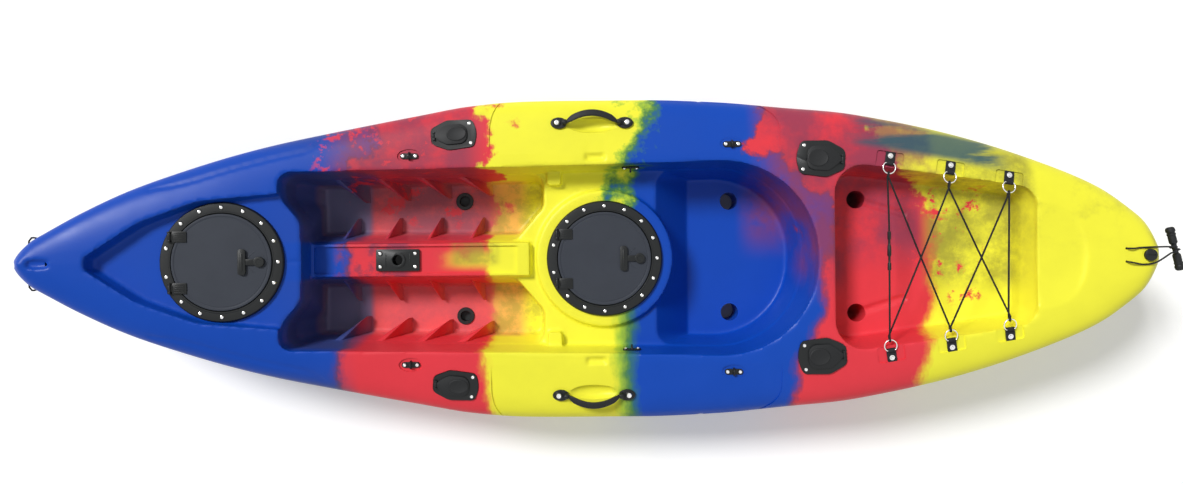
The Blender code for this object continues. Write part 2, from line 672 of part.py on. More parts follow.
def line_value(line, x):
    """The value of a line at a distance forward, on a smooth curve through its points."""
    x = x * LINES_LENGTH / LENGTH
    if x <= line[0][0]:
        return line[0][1]
    if x >= line[-1][0]:
        return line[-1][1]
    i = next(i for i in range(len(line) - 1) if x <= line[i + 1][0])
    slopes = [(b[1] - a[1]) / (b[0] - a[0]) for a, b in zip(line, line[1:])]

    def tangent(k):
        if k in (0, len(line) - 1):
            return slopes[min(k, len(slopes) - 1)]
        left, right = slopes[k - 1], slopes[k]
        return 0.0 if left * right <= 0.0 else 2.0 * left * right / (left + right)

    (x0, v0), (x1, v1) = line[i], line[i + 1]
    span = x1 - x0
    t = (x - x0) / span
    return ((2 * t ** 3 - 3 * t ** 2 + 1) * v0 + (t ** 3 - 2 * t ** 2 + t) * span * tangent(i)
            + (-2 * t ** 3 + 3 * t ** 2) * v1 + (t ** 3 - t ** 2) * span * tangent(i + 1))


def half_beam(x):
    """Half the hull's width, which closes round each tip."""
    from_tip = LENGTH / 2.0 - abs(x)
    width = aside(line_value(HALF_BEAM_LINE, x))
    if from_tip >= NOSE_ROUNDING:
        return width
    into = 1.0 - max(from_tip, 0.0) / NOSE_ROUNDING
    return width * math.sqrt(max(1.0 - into ** 2, 0.04))


def deck_z(x, y, inset=0.0):
    """The height of the deck's outer surface, or of the surface under it."""
    beam = half_beam(x) - inset
    share = min(abs(y) / beam, 1.0)
    seam = line_value(SEAM_LINE, x)
    rise = line_value(DECK_LINE, x) - inset - seam
    crown = line_value(CROWN_LINE, x) * (1.0 - share ** 2)
    return seam + rise * (1.0 - share ** DECK_SQUARENESS) ** (1.0 / DECK_SQUARENESS) + crown


def bottom_z(x, y, inset=0.0):
    """The height of the hull's underside: a flat keel between two shallow tunnels, and round bilges."""
    beam = half_beam(x) - inset
    share = min(abs(y) / beam, 1.0)
    seam = line_value(SEAM_LINE, x)
    keel = line_value(KEEL_LINE, x)
    full = line_value(FULLNESS_LINE, x)
    curve = seam - (seam - keel + KEEL_FLAT_DEPTH) * (1.0 - share ** full) ** (1.0 / full)
    along = max(0.0, 1.0 - (x / forward(TUNNEL_REACH)) ** 2)
    aside_of = abs(abs(y) * LINES_BEAM / BEAM - TUNNEL_AT) / TUNNEL_HALF_WIDTH
    tunnel = TUNNEL_DEPTH * along * max(0.0, 1.0 - aside_of ** 2)
    return max(curve, keel) + tunnel + inset * (1.0 - share ** 4)


def hull_ring(x, inset=0.0):
    """One section of the hull, from the keel up the port side, over the deck and back."""
    beam = half_beam(x) - inset
    port = [(beam * share, bottom_z(x, beam * share, inset)) for share in BOTTOM_SHARES]
    port += [(beam * share, deck_z(x, beam * share, inset)) for share in DECK_SHARES]
    starboard = [(-y, z) for y, z in reversed(port[1:-1])]
    return [Vector((x, y, z)) for y, z in port + starboard]


def hull_loft(name, group, stern, bow, inset, count, mat=None):
    """The skin of the hull through sections that crowd towards its ends."""
    bm = bmesh.new()
    middle = (bow + stern) / 2.0
    reach = (bow - stern) / 2.0
    turns = [-math.pi / 2 + math.pi * i / count for i in range(count + 1)]
    loft(bm, [hull_ring(middle + reach * math.sin(a), inset) for a in turns])
    return to_object(bm, name, group, mat)


def deck_frame(x, y, yaw=0.0, outline=()):
    """A frame on the deck with Z along its normal. It sinks until the whole outline lies in the deck."""
    step = 0.01
    slope_x = (deck_z(x + step, y) - deck_z(x - step, y)) / (2.0 * step)
    slope_y = (deck_z(x, y + step) - deck_z(x, y - step)) / (2.0 * step)
    normal = Vector((-slope_x, -slope_y, 1.0)).normalized()
    ahead = (Vector((1.0, 0.0, slope_x))).normalized()
    across = normal.cross(ahead).normalized()
    turn = Matrix((ahead, across, normal)).transposed().to_4x4()
    frame = Matrix.Translation((x, y, deck_z(x, y))) @ turn @ Matrix.Rotation(yaw, 4, "Z")
    lowest = 0.0
    for u, v in outline:
        point = frame @ Vector((u, v, 0.0))
        drop = (point.z - deck_z(point.x, point.y)) * normal.z
        lowest = max(lowest, drop)
    return frame @ Matrix.Translation((0.0, 0.0, -lowest))


def well(name, group, corners, insets, floor, rim, grow=0.0):
    """A cutter for a well: its floor is a height or a function of x, and its walls lean out to the rim."""
    insets = insets if isinstance(insets, (list, tuple)) else [insets] * len(corners)
    floor_line = outline_of(corners, [inset - grow for inset in insets])
    rim_line = outline_of(corners, -grow)
    height = floor if callable(floor) else (lambda x: floor)
    bm = bmesh.new()
    loft(bm, [[Vector((x, y, height(x) - grow)) for x, y in floor_line],
              [Vector((x, y, rim)) for x, y in rim_line],
              [Vector((x, y, rim + DECK_CLEAR)) for x, y in rim_line]])
    return to_object(bm, name, group)


def recess_floor(x):
    """The tilted floor of the recess round the bow hatch."""
    return BOW_HATCH_Z + (x - forward(BOW_HATCH_X)) * math.tan(RECESS_TILT)


def tank_floor(x):
    """The floor of the cargo well, which falls towards its scuppers at the front."""
    return TANK_FLOOR_FRONT_Z + (forward(TANK_FRONT) - x) * TANK_FLOOR_SLOPE


def wells():
    """The outline, wall insets, floor and rim of each well that is cut into the hull."""
    f = forward
    s = aside
    radii = COCKPIT_RADII
    cockpit = both_sides([(f(COCKPIT_FRONT), s(COCKPIT_CORNER_Y), radii[0]),
                          (f(COCKPIT_SHOULDER), s(COCKPIT_SHOULDER_Y), radii[1]),
                          (f(COCKPIT_SHOULDER), s(COCKPIT_HALF_FRONT), radii[2]),
                          (f(COCKPIT_AFT), s(COCKPIT_HALF_AFT), radii[3])])
    port = [COCKPIT_WALL_LEAN, COCKPIT_SHOULDER_LEAN, COCKPIT_WALL_LEAN]
    cockpit_insets = port + [COCKPIT_AFT_LEAN] + port + [COCKPIT_FRONT_LEAN]
    inner = s(CONSOLE_HALF_WIDTH) + FOOTWELL_CONSOLE_GAP
    front = f(COCKPIT_FRONT) + FOOTWELL_FRONT_REACH
    plan = [(front, inner), (front, s(FOOTWELL_HALF_FRONT)), (f(FOOTWELL_AFT), s(FOOTWELL_HALF_AFT)),
            (f(FOOTWELL_AFT), s(FOOTWELL_HEEL[1])), (f(FOOTWELL_HEEL[0]), inner)]
    footwell = [(x, y, radius) for (x, y), radius in zip(plan, FOOTWELL_RADII)]
    # The mirrored outline starts at its old last corner, so its edges run the other way round
    starboard_leans = FOOTWELL_LEANS[3::-1] + FOOTWELL_LEANS[:3:-1]
    seat = both_sides([(f(SEAT_FRONT), s(SEAT_HALF_FRONT), SEAT_RADII[0]),
                       (f(COCKPIT_AFT) + SEAT_BACK_MARGIN, s(SEAT_HALF_AFT), SEAT_RADII[1])])
    seat_insets = [SEAT_WALL_LEAN] * 3 + [SEAT_FRONT_SLOPE]
    tank = both_sides([(f(TANK_FRONT), s(TANK_HALF_FRONT), TANK_RADII[0]),
                       (f(TANK_AFT), s(TANK_HALF_AFT), TANK_RADII[1])])
    tank_insets = [TANK_SIDE_LEAN, TANK_AFT_LEAN, TANK_SIDE_LEAN, TANK_FRONT_LEAN]
    side = HATCH_FLANGE_RADIUS + RECESS_SIDE_GAP
    plan = [(f(RECESS_APEX), RECESS_APEX_HALF), (f(RECESS_SHOULDER[0]), s(RECESS_SHOULDER[1])),
            (f(RECESS_SIDE_FRONT), side), (f(RECESS_SIDE_AFT), side + RECESS_SIDE_SPREAD)]
    recess = both_sides([(x, y, radius) for (x, y), radius in zip(plan, RECESS_RADII)])
    return {
        "cockpit": (cockpit, cockpit_insets, PLATFORM_Z, COCKPIT_RIM_Z),
        "footwell_port": (footwell, FOOTWELL_LEANS, FOOTWELL_FLOOR_Z, PLATFORM_Z + FOOTWELL_RIM_LIFT),
        "footwell_starboard": (mirrored(footwell), starboard_leans, FOOTWELL_FLOOR_Z,
                               PLATFORM_Z + FOOTWELL_RIM_LIFT),
        "seat": (seat, seat_insets, SEAT_FLOOR_Z, PLATFORM_Z + SEAT_RIM_LIFT),
        "tank_well": (tank, tank_insets, tank_floor, TANK_RIM_Z),
        "bow_recess": (recess, RECESS_LEAN, recess_floor, RECESS_RIM_Z),
    }


def scuppers():
    """The place of each drain hole, the height of the floor that it drains, and its radius."""
    foot = (*FOOT_SCUPPER, FOOTWELL_FLOOR_Z, FOOT_SCUPPER_RADIUS)
    seat = (*SEAT_SCUPPER, SEAT_FLOOR_Z, SCUPPER_RADIUS)
    tank = (*TANK_SCUPPER, tank_floor(forward(TANK_SCUPPER[0])), SCUPPER_RADIUS)
    return [(forward(x), side * aside(y), floor, radius)
            for side in (1, -1) for x, y, floor, radius in (foot, seat, tank)]


# Frames that the fittings and their seats share


def hatch_frames():
    """The frame of each hatch, on the surface that its flange seats on."""
    tilt = Matrix.Rotation(-RECESS_TILT, 4, "Y")
    return {
        "bow_hatch": Matrix.Translation((forward(BOW_HATCH_X), 0.0, BOW_HATCH_Z)) @ tilt,
        "centre_hatch": Matrix.Translation((forward(CENTRE_HATCH_X), 0.0, MOUND_TOP_Z)),
    }


def holder_outline(length, width, margin=0.0):
    """The plate of a rod holder: square end at -x, narrow end at +x."""
    corners = [(x * length / 2.0, y * width / 2.0, radius) for x, y, radius in ROD_PLATE_CORNERS]
    return outline_of(corners, margin)


def rod_holders():
    """Each rod holder's frame, length and width. Local +x is its narrow end, where the cap is hinged."""
    places = {}
    for side, word in ((1, "port"), (-1, "starboard")):
        plate = holder_outline(FRONT_HOLDER_LENGTH, FRONT_HOLDER_WIDTH)
        frame = deck_frame(forward(FRONT_HOLDER_X), side * aside(FRONT_HOLDER_Y),
                           side * FRONT_HOLDER_YAW, plate)
        places[f"front_rod_holder_{word}"] = (frame, FRONT_HOLDER_LENGTH, FRONT_HOLDER_WIDTH)
        plate = holder_outline(REAR_HOLDER_LENGTH, REAR_HOLDER_WIDTH)
        frame = deck_frame(forward(REAR_HOLDER_X), side * aside(REAR_HOLDER_Y),
                           math.pi + side * REAR_HOLDER_YAW, plate)
        places[f"rear_rod_holder_{word}"] = (frame, REAR_HOLDER_LENGTH, REAR_HOLDER_WIDTH)
    return places


def pad_eye_frames():
    """The frame of each pad eye, on the floor of its oval recess."""
    frames = {}
    down = Matrix.Translation((0.0, 0.0, -PAD_RECESS_DEPTH))
    recess = oval(PAD_RECESS_LENGTH, PAD_RECESS_WIDTH)
    for end, (x, y) in (("front", FRONT_EYE), ("rear", REAR_EYE)):
        for side, word in ((1, "port"), (-1, "starboard")):
            frames[f"{end}_pad_eye_{word}"] = deck_frame(forward(x), side * aside(y), 0.0, recess) @ down
    return frames


def handle_frames():
    """The frame of each side handle, at the middle between its two mounts. Local +y is outboard."""
    frames = {}
    span = HANDLE_HALF_SPAN * 2.0 + HANDLE_MOUNT_LENGTH
    plan = slab(span, HANDLE_MOUNT_WIDTH, HANDLE_PLAN_CORNER)
    for side, word in ((1, "port"), (-1, "starboard")):
        frame = deck_frame(forward(HANDLE_X), side * aside(HANDLE_Y), 0.0, plan)
        frames[word] = frame @ Matrix.Diagonal((1.0, side, 1.0, 1.0))
    return frames


def tie_frames():
    """The frame of each tie-down, on the floor of its pad. Local +y is inboard."""
    frames = {}
    pad = slab(TIE_RECESS_LENGTH, TIE_RECESS_WIDTH, TIE_RECESS_CORNER)
    down = Matrix.Translation((0.0, 0.0, -TIE_RECESS_DEPTH))
    lean = math.atan2(TIE_STATIONS[0][1] - TIE_STATIONS[2][1], TIE_STATIONS[0][0] - TIE_STATIONS[2][0])
    for number, (x, y) in enumerate(TIE_STATIONS, start=1):
        for side, word in ((1, "port"), (-1, "starboard")):
            frame = deck_frame(forward(x), side * aside(y), side * lean, pad)
            frames[(number, word)] = frame @ down @ Matrix.Diagonal((1.0, -side, 1.0, 1.0))
    return frames


# The hull


def make_console(group):
    """The console between the footwells."""
    front = forward(COCKPIT_FRONT) + HULL_WALL
    aft = forward(CONSOLE_AFT)
    bm = bmesh.new()
    middle = Matrix.Translation(((front + aft) / 2.0, 0.0, 0.0))
    top = slab(front - aft, aside(CONSOLE_HALF_WIDTH) * 2.0, CONSOLE_CORNER)
    prism(bm, middle, top, PLATFORM_Z - FORM_SINK, CONSOLE_TOP_Z)
    return to_object(bm, "console_form", group)


def make_mound(group):
    """The round mound that the centre hatch is screwed to, and the knee stops beside it."""
    bm = bmesh.new()
    frame = Matrix.Translation((forward(CENTRE_HATCH_X), 0.0, 0.0))
    low = PLATFORM_Z - FORM_SINK
    profile = [(0.0, MOUND_TOP_Z), (0.0, low), (MOUND_RADIUS + MOUND_FLARE, low), (MOUND_RADIUS, MOUND_TOP_Z)]
    turned(bm, frame, profile, MOUND_SIDES)
    plan = slab(KNEE_STOP_LENGTH, KNEE_STOP_WIDTH, KNEE_STOP_CORNER)
    out = platform_half_width(KNEE_STOP_X) - KNEE_STOP_INSET
    for side in (1, -1):
        stop = Matrix.Translation((forward(KNEE_STOP_X), side * out, 0.0))
        prism(bm, stop, plan, low, PLATFORM_Z + KNEE_STOP_HEIGHT)
    return to_object(bm, "mound_form", group)


def platform_half_width(x):
    """Half the cockpit's width at the level of its platform."""
    share = (forward(COCKPIT_SHOULDER) - forward(x)) / (forward(COCKPIT_SHOULDER) - forward(COCKPIT_AFT))
    return aside(COCKPIT_HALF_FRONT + (COCKPIT_HALF_AFT - COCKPIT_HALF_FRONT) * share) - COCKPIT_WALL_LEAN


def foot_rest(bm, tip, tip_y, wall_y, length, height, crest):
    """A fin whose upright face looks to the stern: its crest falls from the wall to a tip on the floor."""
    inward = math.copysign(1.0, tip_y - wall_y)
    floor = FOOTWELL_FLOOR_Z - REST_SINK
    low = [(tip + length, wall_y), (tip, wall_y), (tip, tip_y)]
    high = [(tip + length * share, wall_y) for share in REST_CREST_ENDS]
    high.append((tip + length * REST_CREST_POINT, wall_y + inward * crest))
    rings = [[Vector((u, v, floor)) for u, v in low], [Vector((u, v, floor + height)) for u, v in high]]
    loft(bm, rings)


def make_foot_rests(group):
    """The foot rests of both footwells: large fins on the outer walls, small ones on the console."""
    bm = bmesh.new()
    for side in (1, -1):
        for number in range(REST_COUNT):
            tip = forward(REST_FIRST_X) - number * REST_PITCH
            wall = side * (platform_half_width(tip) + REST_WALL_REACH)
            foot_rest(bm, tip, side * aside(REST_TIP_Y), wall, REST_LENGTH, REST_HEIGHT, REST_CREST)
            tip = forward(INNER_REST_FIRST_X) - number * INNER_REST_PITCH
            wall = side * (aside(CONSOLE_HALF_WIDTH) + INNER_REST_WALL_REACH)
            foot_rest(bm, tip, side * aside(INNER_REST_TIP_Y), wall, INNER_REST_LENGTH, INNER_REST_HEIGHT,
                      INNER_REST_CREST)
    return to_object(bm, "foot_rest_forms", group)


def make_pockets(group, places, grow, name):
    """Cutters for the seats of the fittings that are let into the deck."""
    bm = bmesh.new()
    for frame, length, width in places["holders"].values():
        prism(bm, frame, holder_outline(length, width, -ROD_POCKET_CLEARANCE - grow), -grow, CUT_CLEAR)
    if not grow:
        for frame in places["pad_eyes"].values():
            prism(bm, frame, oval(PAD_RECESS_LENGTH, PAD_RECESS_WIDTH), 0.0, CUT_CLEAR)
        for frame in places["ties"].values():
            pad = frame @ Matrix.Translation((0.0, TIE_RECESS_SHIFT, 0.0))
            prism(bm, pad, slab(TIE_RECESS_LENGTH, TIE_RECESS_WIDTH, TIE_RECESS_CORNER), 0.0, CUT_CLEAR)
        prism(bm, places["drain"], drain_pad(20), 0.0, CUT_CLEAR)
        ahead, behind, beside = CONSOLE_PANEL_MARGINS
        panel_front = forward(COCKPIT_FRONT) - ahead
        panel_aft = forward(CONSOLE_AFT) + behind
        middle = Matrix.Translation(((panel_front + panel_aft) / 2.0, 0.0, CONSOLE_TOP_Z - CONSOLE_PANEL_DEPTH))
        panel = slab(panel_front - panel_aft, (aside(CONSOLE_HALF_WIDTH) - beside) * 2.0, CONSOLE_PANEL_CORNER)
        prism(bm, middle, panel, 0.0, CUT_CLEAR)
        room = 2.0 * HANDLE_POCKET_CLEARANCE
        mount_plan = oval(HANDLE_MOUNT_LENGTH + room, HANDLE_MOUNT_WIDTH + room)
        for frame in places["handles"].values():
            for sign in (1, -1):
                mount = frame @ Matrix.Translation((sign * HANDLE_HALF_SPAN, 0.0, 0.0))
                prism(bm, mount, mount_plan, 0.0, CUT_CLEAR)
    return to_object(bm, name, group)


def make_scoops(group, places, grow, name):
    """Cutters for the finger scoop inboard of each side handle."""
    bm = bmesh.new()
    sections = [(share, deep * HANDLE_SCOOP_DEPTH) for share, deep in HANDLE_SCOOP_SECTIONS]
    for frame in places["handles"].values():
        inboard = frame @ Matrix.Translation((0.0, -HANDLE_SCOOP_SHIFT, 0.0))
        rings = []
        for share, down in sections + [(HANDLE_SCOOP_FLARE, -CUT_CLEAR)]:
            wide = oval(HANDLE_SCOOP_LENGTH * share + 2 * grow, HANDLE_SCOOP_WIDTH * share + 2 * grow)
            rings.append([inboard @ Vector((u, v, -down - grow)) for u, v in wide])
        loft(bm, rings)
    return to_object(bm, name, group)


def make_openings(group, places):
    """Cutters for the holes through the skin, which open the hollow inside it."""
    bm = bmesh.new()
    for frame in places["hatches"].values():
        rod(bm, frame @ Vector((0, 0, -CUT_DEPTH)), frame @ Vector((0, 0, CUT_CLEAR)), HATCH_HOLE_RADIUS, 32)
    for frame, _, _ in places["holders"].values():
        axis = tube_axis(frame)
        top = frame @ Vector((0.0, 0.0, ROD_FLANGE_THICK))
        rod(bm, top - axis * ROD_CUT_DEPTH, top + axis * CUT_CLEAR, ROD_TUBE_RADIUS + ROD_TUBE_CLEARANCE,
            ROD_TUBE_SIDES)
    for frame, radius, sides in ((places["drain"], DRAIN_SHANK_RADIUS + DRAIN_CLEARANCE, 16),
                                 (places["base"], BASE_RIM_RADIUS + BASE_HOLE_CLEARANCE, 24)):
        rod(bm, frame @ Vector((0, 0, -CUT_DEPTH)), frame @ Vector((0, 0, CUT_CLEAR)), radius, sides)
    hole = CORD_RADIUS + CORD_HOLE_CLEARANCE
    bow_x = forward(BOW_CORD_X)
    bow_z = bow_cord_z()
    wide = half_beam(bow_x)
    for side in (1, -1):
        x, y = forward(STERN_CORD_HOLE[0]), side * STERN_CORD_HOLE[1]
        top = deck_z(x, y)
        rod(bm, (x, y, top - CORD_HOLE_DEPTH), (x, y, top + CORD_HOLE_OUT), hole, 12)
        rod(bm, (bow_x, side * (wide - CORD_HOLE_DEPTH), bow_z), (bow_x, side * (wide + CORD_HOLE_OUT), bow_z),
            hole, 12)
    return to_object(bm, "opening_cutters", group)


def make_hull(parts, cutters, places, mat):
    """The rotomoulded hull: one skin with its wells, bored, hollow and open at its hatches."""
    hull = hull_loft("hull", parts, -LENGTH / 2.0, LENGTH / 2.0, 0.0, STATIONS, mat)
    stern = -LENGTH / 2.0 + STERN_SOLID
    bow = LENGTH / 2.0 - BOW_SOLID
    hollow = hull_loft("hollow", cutters, stern, bow, HULL_WALL, INNER_STATIONS)
    for name, (corners, insets, floor, rim) in wells().items():
        boolean(hull, well(f"{name}_cutter", cutters, corners, insets, floor, rim), "DIFFERENCE")
        boolean(hollow, well(f"{name}_wall", cutters, corners, insets, floor, rim, HULL_WALL), "DIFFERENCE")
    for form in (make_mound(cutters), make_console(cutters), make_foot_rests(cutters)):
        boolean(hull, form, "UNION")
    boolean(hull, make_pockets(cutters, places, 0.0, "pocket_cutters"), "DIFFERENCE")
    boolean(hollow, make_pockets(cutters, places, HULL_WALL, "pocket_walls"), "DIFFERENCE")
    boolean(hull, make_scoops(cutters, places, 0.0, "scoop_cutters"), "DIFFERENCE")
    boolean(hollow, make_scoops(cutters, places, HULL_WALL, "scoop_walls"), "DIFFERENCE")
    bores = bmesh.new()
    walls = bmesh.new()
    for x, y, floor, radius in scuppers():
        rod(bores, (x, y, -CUT_DEPTH), (x, y, floor + CUT_CLEAR), radius, 16)
        rod(walls, (x, y, -CUT_DEPTH), (x, y, floor + CUT_CLEAR), radius + HULL_WALL, 12)
    boolean(hollow, to_object(walls, "scupper_walls", cutters), "DIFFERENCE")
    boolean(hull, hollow, "DIFFERENCE")
    boolean(hull, to_object(bores, "scupper_bores", cutters), "DIFFERENCE")
    boolean(hull, make_openings(cutters, places), "DIFFERENCE")
    return hull


# Screw heads


def add_screw_heads(fitting, frame, spots, cutters, radius, height):
    """Fuse the heads of a fitting's screws to it. Each spot is on its top face, in the fitting's frame."""
    bm = bmesh.new()
    for x, y, top in spots:
        rod(bm, frame @ Vector((x, y, top - SCREW_HEAD_SINK)), frame @ Vector((x, y, top + height)),
            radius, SCREW_HEAD_SIDES, radius * SCREW_HEAD_TAPER)
    boolean(fitting, to_object(bm, f"{fitting.name}_heads", cutters), "UNION")


# Hatches


def make_hatch(name, frame, parts, cutters, mats):
    """A round screwed frame with a hinged lid, its gasket, two hinge pins and a quarter-turn latch."""
    black, rubber, steel = mats
    axis_z = HATCH_FLANGE_THICK + HINGE_KNUCKLE_RADIUS + HINGE_LIFT
    lid_bottom = HATCH_SEAT_Z + GASKET_THICK + 2 * FIT
    lid_top = lid_bottom + HATCH_LID_THICK
    ring = bmesh.new()
    inner = HATCH_OPENING_RADIUS
    rebate = HATCH_LID_RADIUS + HATCH_LID_GAP
    collar = HATCH_HOLE_RADIUS - HATCH_COLLAR_CLEARANCE
    profile = [(inner, HATCH_SEAT_Z), (inner, -HATCH_COLLAR_DEPTH), (collar, -HATCH_COLLAR_DEPTH),
               (collar, FIT), (HATCH_FLANGE_RADIUS, FIT),
               (HATCH_FLANGE_RADIUS - HATCH_EDGE_TAPER, HATCH_FLANGE_THICK), (rebate, HATCH_FLANGE_THICK),
               (rebate, HATCH_SEAT_Z)]
    turned(ring, frame, profile, HATCH_SIDES)
    hatch_frame = to_object(ring, f"{name}_frame", parts, black, frame.translation)
    spots = []
    for k in range(HATCH_SCREW_COUNT):
        angle = math.pi + screw_angle(k)
        spots.append((HATCH_SCREW_CIRCLE * math.cos(angle), HATCH_SCREW_CIRCLE * math.sin(angle),
                      HATCH_FLANGE_THICK))
    add_screw_heads(hatch_frame, frame, spots, cutters, SCREW_HEAD_RADIUS, SCREW_HEAD_THICK)
    extras = bmesh.new()
    ear_offset = LID_KNUCKLE_LENGTH / 2.0 + FIT + EAR_LENGTH / 2.0
    for side in (1, -1):
        for end in (1, -1):
            y = side * HINGE_SPREAD + end * ear_offset
            ear = box_plan(HINGE_AT, y, HINGE_KNUCKLE_RADIUS, EAR_LENGTH / 2.0)
            prism(extras, frame, ear, HATCH_FLANGE_THICK - EAR_SINK, axis_z + HINGE_KNUCKLE_RADIUS)
    boolean(hatch_frame, to_object(extras, f"{name}_frame_extras", cutters), "UNION")
    bores = bmesh.new()
    for side in (1, -1):
        y = side * HINGE_SPREAD
        rod(bores, frame @ Vector((HINGE_AT, y - HINGE_BORE_HALF, axis_z)),
            frame @ Vector((HINGE_AT, y + HINGE_BORE_HALF, axis_z)), HINGE_PIN_RADIUS + FIT, 12)
    boolean(hatch_frame, to_object(bores, f"{name}_pin_bores", cutters), "DIFFERENCE")

    seal = bmesh.new()
    low = HATCH_SEAT_Z + FIT
    high = low + GASKET_THICK
    near = GASKET_RADIUS - GASKET_WIDTH / 2
    far = GASKET_RADIUS + GASKET_WIDTH / 2
    turned(seal, frame, [(near, high), (near, low), (far, low), (far, high)], HATCH_SIDES)
    to_object(seal, f"{name}_gasket", parts, rubber, frame.translation)

    disc = bmesh.new()
    turned(disc, frame, [(0.0, lid_top), (0.0, lid_bottom), (HATCH_LID_RADIUS, lid_bottom),
                         (HATCH_LID_RADIUS, lid_top - SMALL_CHAMFER),
                         (HATCH_LID_RADIUS - SMALL_CHAMFER, lid_top)], HATCH_SIDES)
    lid = to_object(disc, f"{name}_lid", parts, black, frame @ Vector((HINGE_AT, 0.0, axis_z)))
    leaves = bmesh.new()
    for side in (1, -1):
        y = side * HINGE_SPREAD
        near = HINGE_AT - HINGE_LEAF_REACH
        wide = HINGE_LEAF_WIDTH / 2.0
        slim = LID_KNUCKLE_LENGTH / 2.0
        step = HINGE_AT - HINGE_KNUCKLE_RADIUS * math.sqrt(2.0) - HINGE_SWING_CLEARANCE
        leaf = [(near, y - wide), (step, y - wide), (step, y - slim), (HINGE_AT, y - slim),
                (HINGE_AT, y + slim), (step, y + slim), (step, y + wide), (near, y + wide)]
        prism(leaves, frame, leaf, lid_top - HINGE_LEAF_SINK, lid_top + HINGE_LEAF_THICK)
    boolean(lid, to_object(leaves, f"{name}_leaves", cutters), "UNION")
    knuckles = bmesh.new()
    for side in (1, -1):
        y = side * HINGE_SPREAD
        rod(knuckles, frame @ Vector((HINGE_AT, y - LID_KNUCKLE_LENGTH / 2, axis_z)),
            frame @ Vector((HINGE_AT, y + LID_KNUCKLE_LENGTH / 2, axis_z)), HINGE_KNUCKLE_RADIUS, 16)
    boolean(lid, to_object(knuckles, f"{name}_knuckles", cutters), "UNION")
    holes = bmesh.new()
    for side in (1, -1):
        y = side * HINGE_SPREAD
        rod(holes, frame @ Vector((HINGE_AT, y - HINGE_BORE_HALF, axis_z)),
            frame @ Vector((HINGE_AT, y + HINGE_BORE_HALF, axis_z)), HINGE_PIN_RADIUS + HINGE_PIN_CLEARANCE, 12)
    rod(holes, frame @ Vector((-LATCH_AT, 0, lid_bottom - CUT_CLEAR)),
        frame @ Vector((-LATCH_AT, 0, lid_top + CUT_CLEAR)), LATCH_SHAFT_RADIUS + LATCH_RUNNING_CLEARANCE, 16)
    boolean(lid, to_object(holes, f"{name}_lid_holes", cutters), "DIFFERENCE")
    for side, word in ((1, "port"), (-1, "starboard")):
        pin = bmesh.new()
        y = side * HINGE_SPREAD
        half = LID_KNUCKLE_LENGTH / 2.0 + FIT + EAR_LENGTH
        rod(pin, frame @ Vector((HINGE_AT, y - half, axis_z)), frame @ Vector((HINGE_AT, y + half, axis_z)),
            HINGE_PIN_RADIUS, 12)
        to_object(pin, f"{name}_hinge_pin_{word}", parts, steel, frame @ Vector((HINGE_AT, y, axis_z)))
    make_latch(name, frame, lid_bottom, lid_top, parts, cutters, black)


def box_plan(x, y, half_x, half_y):
    """A rectangle with sharp corners about a point."""
    return [(x + a * half_x, y + b * half_y) for a, b in ((-1, -1), (1, -1), (1, 1), (-1, 1))]


def screw_angle(k):
    """Screws stand evenly about the latch side, with the last two closer to the hinges."""
    if k < HATCH_SCREW_COUNT - 2:
        return (k - (HATCH_SCREW_COUNT - 3) / 2.0) * HATCH_SCREW_PITCH
    return HATCH_LAST_SCREWS_AT * (1 if k == HATCH_SCREW_COUNT - 1 else -1)


def make_latch(name, frame, lid_bottom, lid_top, parts, cutters, mat):
    """A T handle on a shaft through the lid, with a tongue under it."""
    base = lid_top + FIT
    grip = HATCH_FLANGE_THICK + SCREW_HEAD_THICK + LATCH_SCREW_CLEARANCE
    crown = grip + LATCH_THICK
    pivot = Vector((-LATCH_AT, 0.0, 0.0))
    bm = bmesh.new()
    turned(bm, frame @ Matrix.Translation(pivot),
           [(0.0, crown), (0.0, base), (LATCH_BOSS_RADIUS, base), (LATCH_BOSS_RADIUS, crown - SMALL_CHAMFER),
            (LATCH_BOSS_RADIUS - SMALL_CHAMFER, crown)], 20)
    latch = to_object(bm, f"{name}_latch", parts, mat, frame @ pivot)
    arms = bmesh.new()
    stem = Matrix.Translation(pivot + Vector((LATCH_BAR_OFFSET / 2.0, 0.0, 0.0)))
    prism(arms, frame @ stem, slab(LATCH_BAR_OFFSET, LATCH_STEM_WIDTH, LATCH_STEM_CORNER), grip,
          grip + LATCH_THICK * LATCH_STEM_SHARE)
    boolean(latch, to_object(arms, f"{name}_latch_stem", cutters), "UNION")
    bar = bmesh.new()
    across = Matrix.Translation(pivot + Vector((LATCH_BAR_OFFSET, 0.0, 0.0)))
    prism(bar, frame @ across, slab(LATCH_BAR_WIDTH, LATCH_BAR_LENGTH, LATCH_BAR_CORNER), grip, crown)
    boolean(latch, to_object(bar, f"{name}_latch_bar", cutters), "UNION")
    shaft = bmesh.new()
    rod(shaft, frame @ (pivot + Vector((0, 0, lid_bottom - LATCH_SHAFT_REACH))),
        frame @ (pivot + Vector((0, 0, base + LATCH_SHAFT_SINK))), LATCH_SHAFT_RADIUS, 16)
    boolean(latch, to_object(shaft, f"{name}_latch_shaft", cutters), "UNION")
    tongue = bmesh.new()
    reach = Matrix.Translation(pivot + Vector((-LATCH_TONGUE_LENGTH / 2.0, 0.0, 0.0)))
    low, high = LATCH_TONGUE_LEVELS
    prism(tongue, frame @ reach, slab(LATCH_TONGUE_LENGTH, LATCH_TONGUE_WIDTH, SMALL_CHAMFER), lid_bottom - low,
          lid_bottom - high)
    boolean(latch, to_object(tongue, f"{name}_latch_tongue", cutters), "UNION")
    return latch


# Rod holders


def tube_axis(frame):
    """The way up out of a rod holder's tube, which leans towards its narrow end."""
    return frame.to_3x3() @ Vector((math.sin(ROD_SLANT), 0.0, math.cos(ROD_SLANT)))


